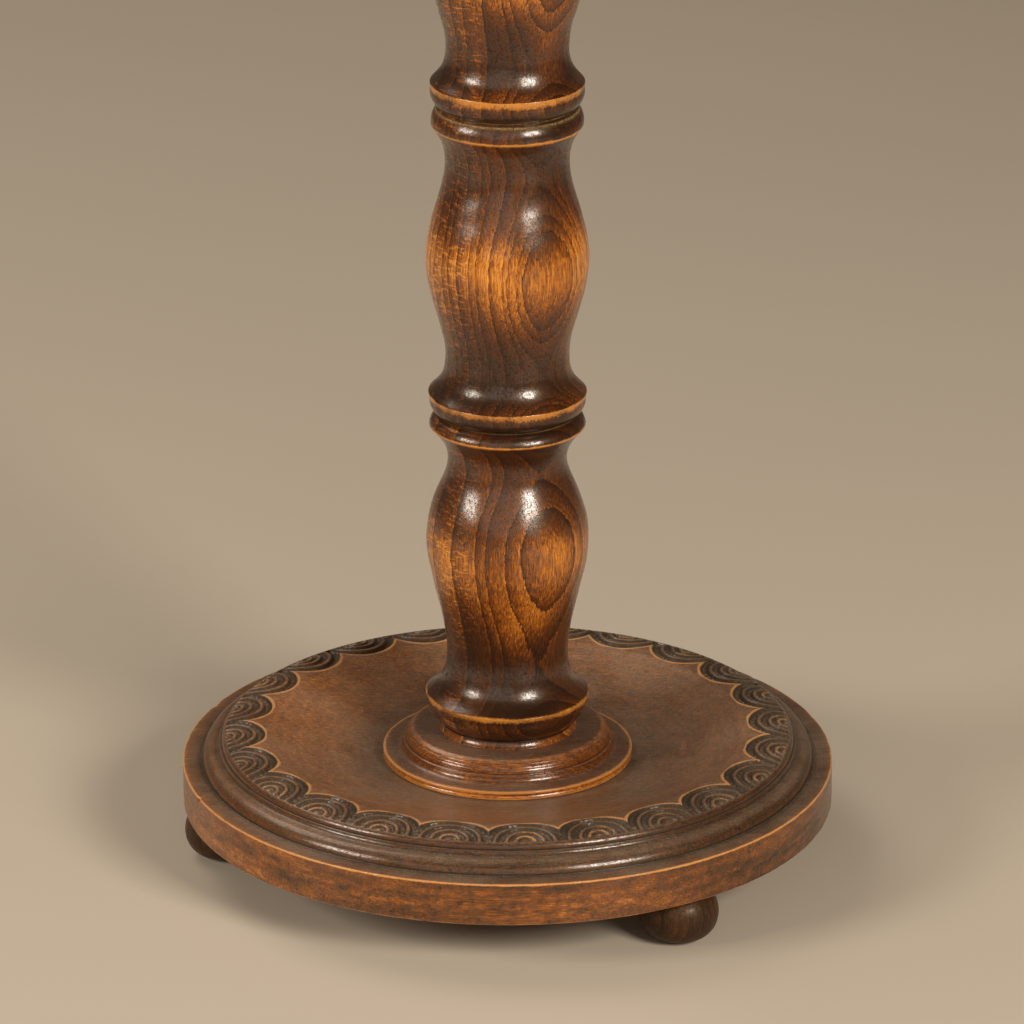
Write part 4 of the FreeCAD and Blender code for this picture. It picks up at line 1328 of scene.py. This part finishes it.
# ------------------------------------------------------------------------------ head
@dataclass
class Head:
    """Capital, drip dish, candle nozzle and the brass liner that lifts out."""

    seat: float = 31.0
    bore: float = DOWEL_BORE

    def build(self) -> None:
        """Makes the four pieces from the bottom up."""
        for piece in (self.capital, self.drip_dish, self.nozzle, self.liner):
            piece()

    def finish(self, name: str, turn: float, seed: float) -> bpy.types.Material:
        """The head's wood."""
        return BeechFinish(name, turn, 80.0, 3.4, 0.02, seed).build()

    def capital(self) -> None:
        """A ring and neck that open into a cup."""
        low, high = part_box("capital")
        z, tall = low.z / MM, (high.z - low.z) / MM
        line = Outline().start(0, z + 30).line((self.bore, z + 30), (self.bore, z), (self.seat, z))
        line.arc((33.8, z + 7.8), 1.5).line((34.1, z + 10.2))
        line.curve((29.4, z + 17), (26.8, z + 27), (27.6, z + 38), (33, z + 52), (41, z + tall - 9))
        line.line((41, z + tall - 6)).arc((35, z + tall), 1.6)
        line.line((self.bore, z + tall), (self.bore, z + tall - 19), (0, z + tall - 19))

        def stain(radius: np.ndarray, height: np.ndarray, angle: np.ndarray) -> np.ndarray:
            """Dark at both ends, honey where the cup swells."""
            level = np.interp((height - z) / tall, [0, 0.1, 0.25, 0.45, 0.65, 0.85, 1.0],
                              [0.9, 0.65, 0.6, 0.42, 0.24, 0.4, 0.65])
            return level + 0.05 * wander(angle, height, 61)

        made = Turning("capital_turned", line, stain=stain).build()
        settle(made, STAND, "turned_wood", self.finish("capital_beech", 280.0, 31.0), "capital")

    def drip_dish(self) -> None:
        """A saucer with a rolled lip."""
        low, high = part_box("drip_dish")
        z, rim = low.z / MM, (high.x - low.x) / MM / 2 - 0.5
        line = Outline().start(self.bore, z).line((35, z)).curve((56, z + 5.5), (rim, z + 12.5))
        line.arc((rim - 0.6, z + 17), 0.9).arc((rim - 4, z + 17), 0.7).arc((50, z + 9), -1.6)
        line.line((self.bore, z + 9), (self.bore, z))

        def stain(radius: np.ndarray, height: np.ndarray, angle: np.ndarray) -> np.ndarray:
            """Dark in the hollow and below, lighter at the lip."""
            level = np.interp(radius, [11, 35, 50, 60, 66], [0.7, 0.6, 0.5, 0.36, 0.3])
            return level + 0.05 * wander(angle, radius, 62)

        made = Turning("drip_dish_turned", line, 320, stain=stain).build()
        finish = BeechFinish("dish_beech", 80.0, -70.0, 3.6, 0.02, 33.0, ring_depth=0.12,
                             line_depth=0.14, grain=GrainAxis.ALONG_X, dust=0.35).build()
        settle(made, STAND, "turned_wood", finish, "drip_dish")

    def nozzle(self) -> None:
        """The wooden socket round the liner, with its tenon."""
        low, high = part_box("candle_nozzle")
        z, mouth = low.z / MM + 26, high.z / MM
        pocket = 21.6
        line = Outline().start(0, z - 26).line((11, z - 26), (11, z), (33, z), (33, z + 3))
        line.curve((28.6, z + 7), (27, z + 14), (28.8, z + 27), (31.5, mouth - 7))
        line.arc((30.7, mouth), 1.2).line((pocket, mouth), (pocket, mouth - 33.8),
                                           (0, mouth - 33.8))

        def stain(radius: np.ndarray, height: np.ndarray, angle: np.ndarray) -> np.ndarray:
            """Lighter at the waist."""
            level = np.interp((height - z) / 44, [0, 0.1, 0.4, 0.8, 1], [0.7, 0.6, 0.34, 0.4, 0.62])
            return level + 0.05 * wander(angle, height, 63)

        made = Turning("nozzle_turned", line, 240, stain=stain).build()
        settle(made, STAND, "turned_wood", self.finish("nozzle_beech", 300.0, 37.0),
               "candle_nozzle")

    def liner(self) -> None:
        """The spun cup, with a beaded flange."""
        low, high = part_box("brass_liner")
        z, top = low.z / MM, high.z / MM
        rim = (high.x - low.x) / MM / 2 - 0.02
        rest = top - 1.2
        line = Outline(rounding=0.12).start(0, z).line((20.3, z)).arc((21.3, z + 1), 0.29)
        line.line((21.3, rest - 0.3)).arc((21.6, rest), -0.09).line((rim - 1.0, rest))
        line.arc((rim, rest + 0.6), 0.25).arc((rim - 1.0, top), 0.25)
        line.line((rim - 2.2, top - 0.35), (23, top - 0.35)).arc((20.5, top - 1.2), 0.4)
        line.line((20.5, z + 1.8)).arc((19.5, z + 0.8), -0.29).line((0, z + 0.8))
        made = Turning("brass_liner_spun", line, 240).build()
        finish = MetalFinish("spun_brass", (0.80, 0.56, 0.22), (0.36, 0.22, 0.09), 0.2).build()
        settle(made, LINER, "spun_brass", finish, "brass_liner")


@dataclass
class HiddenPieces:
    """Dowels, screw and washer, which keep their own solids."""

    dowels: tuple[str, ...] = ("base_dowel", "joint_dowel_1", "joint_dowel_2", "joint_dowel_3",
                               "joint_dowel_4", "foot_dowel_front_right", "foot_dowel_back",
                               "foot_dowel_left")
    metal: tuple[str, ...] = ("coach_screw", "washer")

    def build(self) -> None:
        """Gives each piece its finish."""
        bare = PlainBeechFinish().build()
        zinc = MetalFinish("zinc_plate", (0.60, 0.61, 0.62), (0.35, 0.35, 0.34), 0.3).build()
        for names, finish in ((self.dowels, bare), (self.metal, zinc)):
            for name in names:
                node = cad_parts[name]
                for slot in node.material_slots:
                    slot.material = finish
                log.info("%s keeps its solid, in %s", name, finish.name)


# ------------------------------------------------------------------------------ studio
@dataclass(frozen=True)
class Window:
    """A soft rectangle of light that faces the column."""

    azimuth: float
    rise: float
    away: float
    width: float
    power: float

    def place(self, number: int, middle: float) -> None:
        """Hangs the window.

        Args:
            number: which window.
            middle: the height that it faces, in metres.
        """
        data = bpy.data.lights.new(f"window_{number}", "AREA")
        data.shape = "RECTANGLE"
        data.size = self.width
        data.size_y = self.width * 0.8
        data.energy = self.power
        data.color = (1.0, 0.93, 0.84)
        lamp = bpy.data.objects.new(f"window_{number}", data)
        a, e = math.radians(self.azimuth), math.radians(self.rise)
        level = self.away * math.cos(e)
        lamp.location = (level * math.cos(a), level * math.sin(a),
                         middle + self.away * math.sin(e))
        lamp.rotation_euler = (math.pi / 2 - e, 0, a + math.pi / 2)
        bpy.context.scene.collection.objects.link(lamp)


@dataclass
class Studio:
    """Pale floor, soft windows and the camera."""

    eye: tuple[float, float, float] = (0.0, -3.1463, 1.3649)
    pitch: float = 20.8857
    yaw: float = 0.0372
    lens: float = 259.17
    windows: tuple[Window, ...] = (
        Window(206.0, 21.0, 2.6, 0.95, 41.0), Window(308.0, 24.0, 2.6, 0.95, 67.0),
        Window(257.0, 20.0, 4.2, 3.8, 32.0), Window(140.0, 50.0, 3.0, 1.8, 26.0))
    middle: float = 0.3
    floor_half: float = 9.0

    def build(self) -> None:
        """Sets up the floor, the light and the camera."""
        self.floor()
        self.light()
        self.camera()

    def floor(self) -> None:
        """A wide plain floor."""
        mesh = bpy.data.meshes.new("floor")
        half = self.floor_half
        mesh.from_pydata([(-half, -half, 0), (half, -half, 0), (half, half, 0), (-half, half, 0)],
                         [], [(0, 1, 2, 3)])
        plane = bpy.data.objects.new("floor", mesh)
        bpy.context.scene.collection.objects.link(plane)
        made, graph, shader = new_material("pale_floor")
        raw = graph.add("ShaderNodeTexCoord").outputs["Object"]
        cloud = graph.noise(raw, scale=1.2, detail=3.0)
        graph.feed(shader.inputs["Base Color"],
                   graph.mix(cloud, (0.52, 0.44, 0.34), (0.56, 0.48, 0.38)))
        shader.inputs["Roughness"].default_value = 0.6
        mesh.materials.append(made)

    def light(self) -> None:
        """Soft windows and an even sky."""
        for number, window in enumerate(self.windows):
            window.place(number, self.middle)
        world = bpy.data.worlds.new("room")
        world.use_nodes = True
        shade = world.node_tree.nodes["Background"]
        graph = Graph(world.node_tree)
        _, _, rise = graph.split(graph.add("ShaderNodeTexCoord").outputs["Generated"])
        graph.feed(shade.inputs["Color"], graph.mix(graph.step(rise, 0.05, 0.6),
                                                    (1.0, 0.80, 0.58), (0.42, 0.32, 0.22)))
        shade.inputs["Strength"].default_value = 0.12
        bpy.context.scene.world = world
        bpy.context.scene.view_settings.view_transform = "Standard"

    def camera(self) -> None:
        """The long lens that looks down at the base."""
        data = bpy.data.cameras.new("camera")
        data.sensor_fit = "HORIZONTAL"
        data.sensor_width = 36.0
        data.lens = self.lens
        eye = bpy.data.objects.new("camera", data)
        eye.location = self.eye
        eye.rotation_euler = (math.radians(90 - self.pitch), 0, -math.radians(self.yaw))
        bpy.context.scene.collection.objects.link(eye)
        bpy.context.scene.camera = eye


def main() -> None:
    """Builds the stage and the candlestick, from the floor up."""
    logging.basicConfig(level=logging.INFO, format="%(name)s %(message)s")
    Studio().build()
    BallFeet().build()
    CarvedBase().build()
    Collar().build()
    for section in column_sections():
        section.build()
    Head().build()
    HiddenPieces().build()


if __name__ == "__main__":
    main()
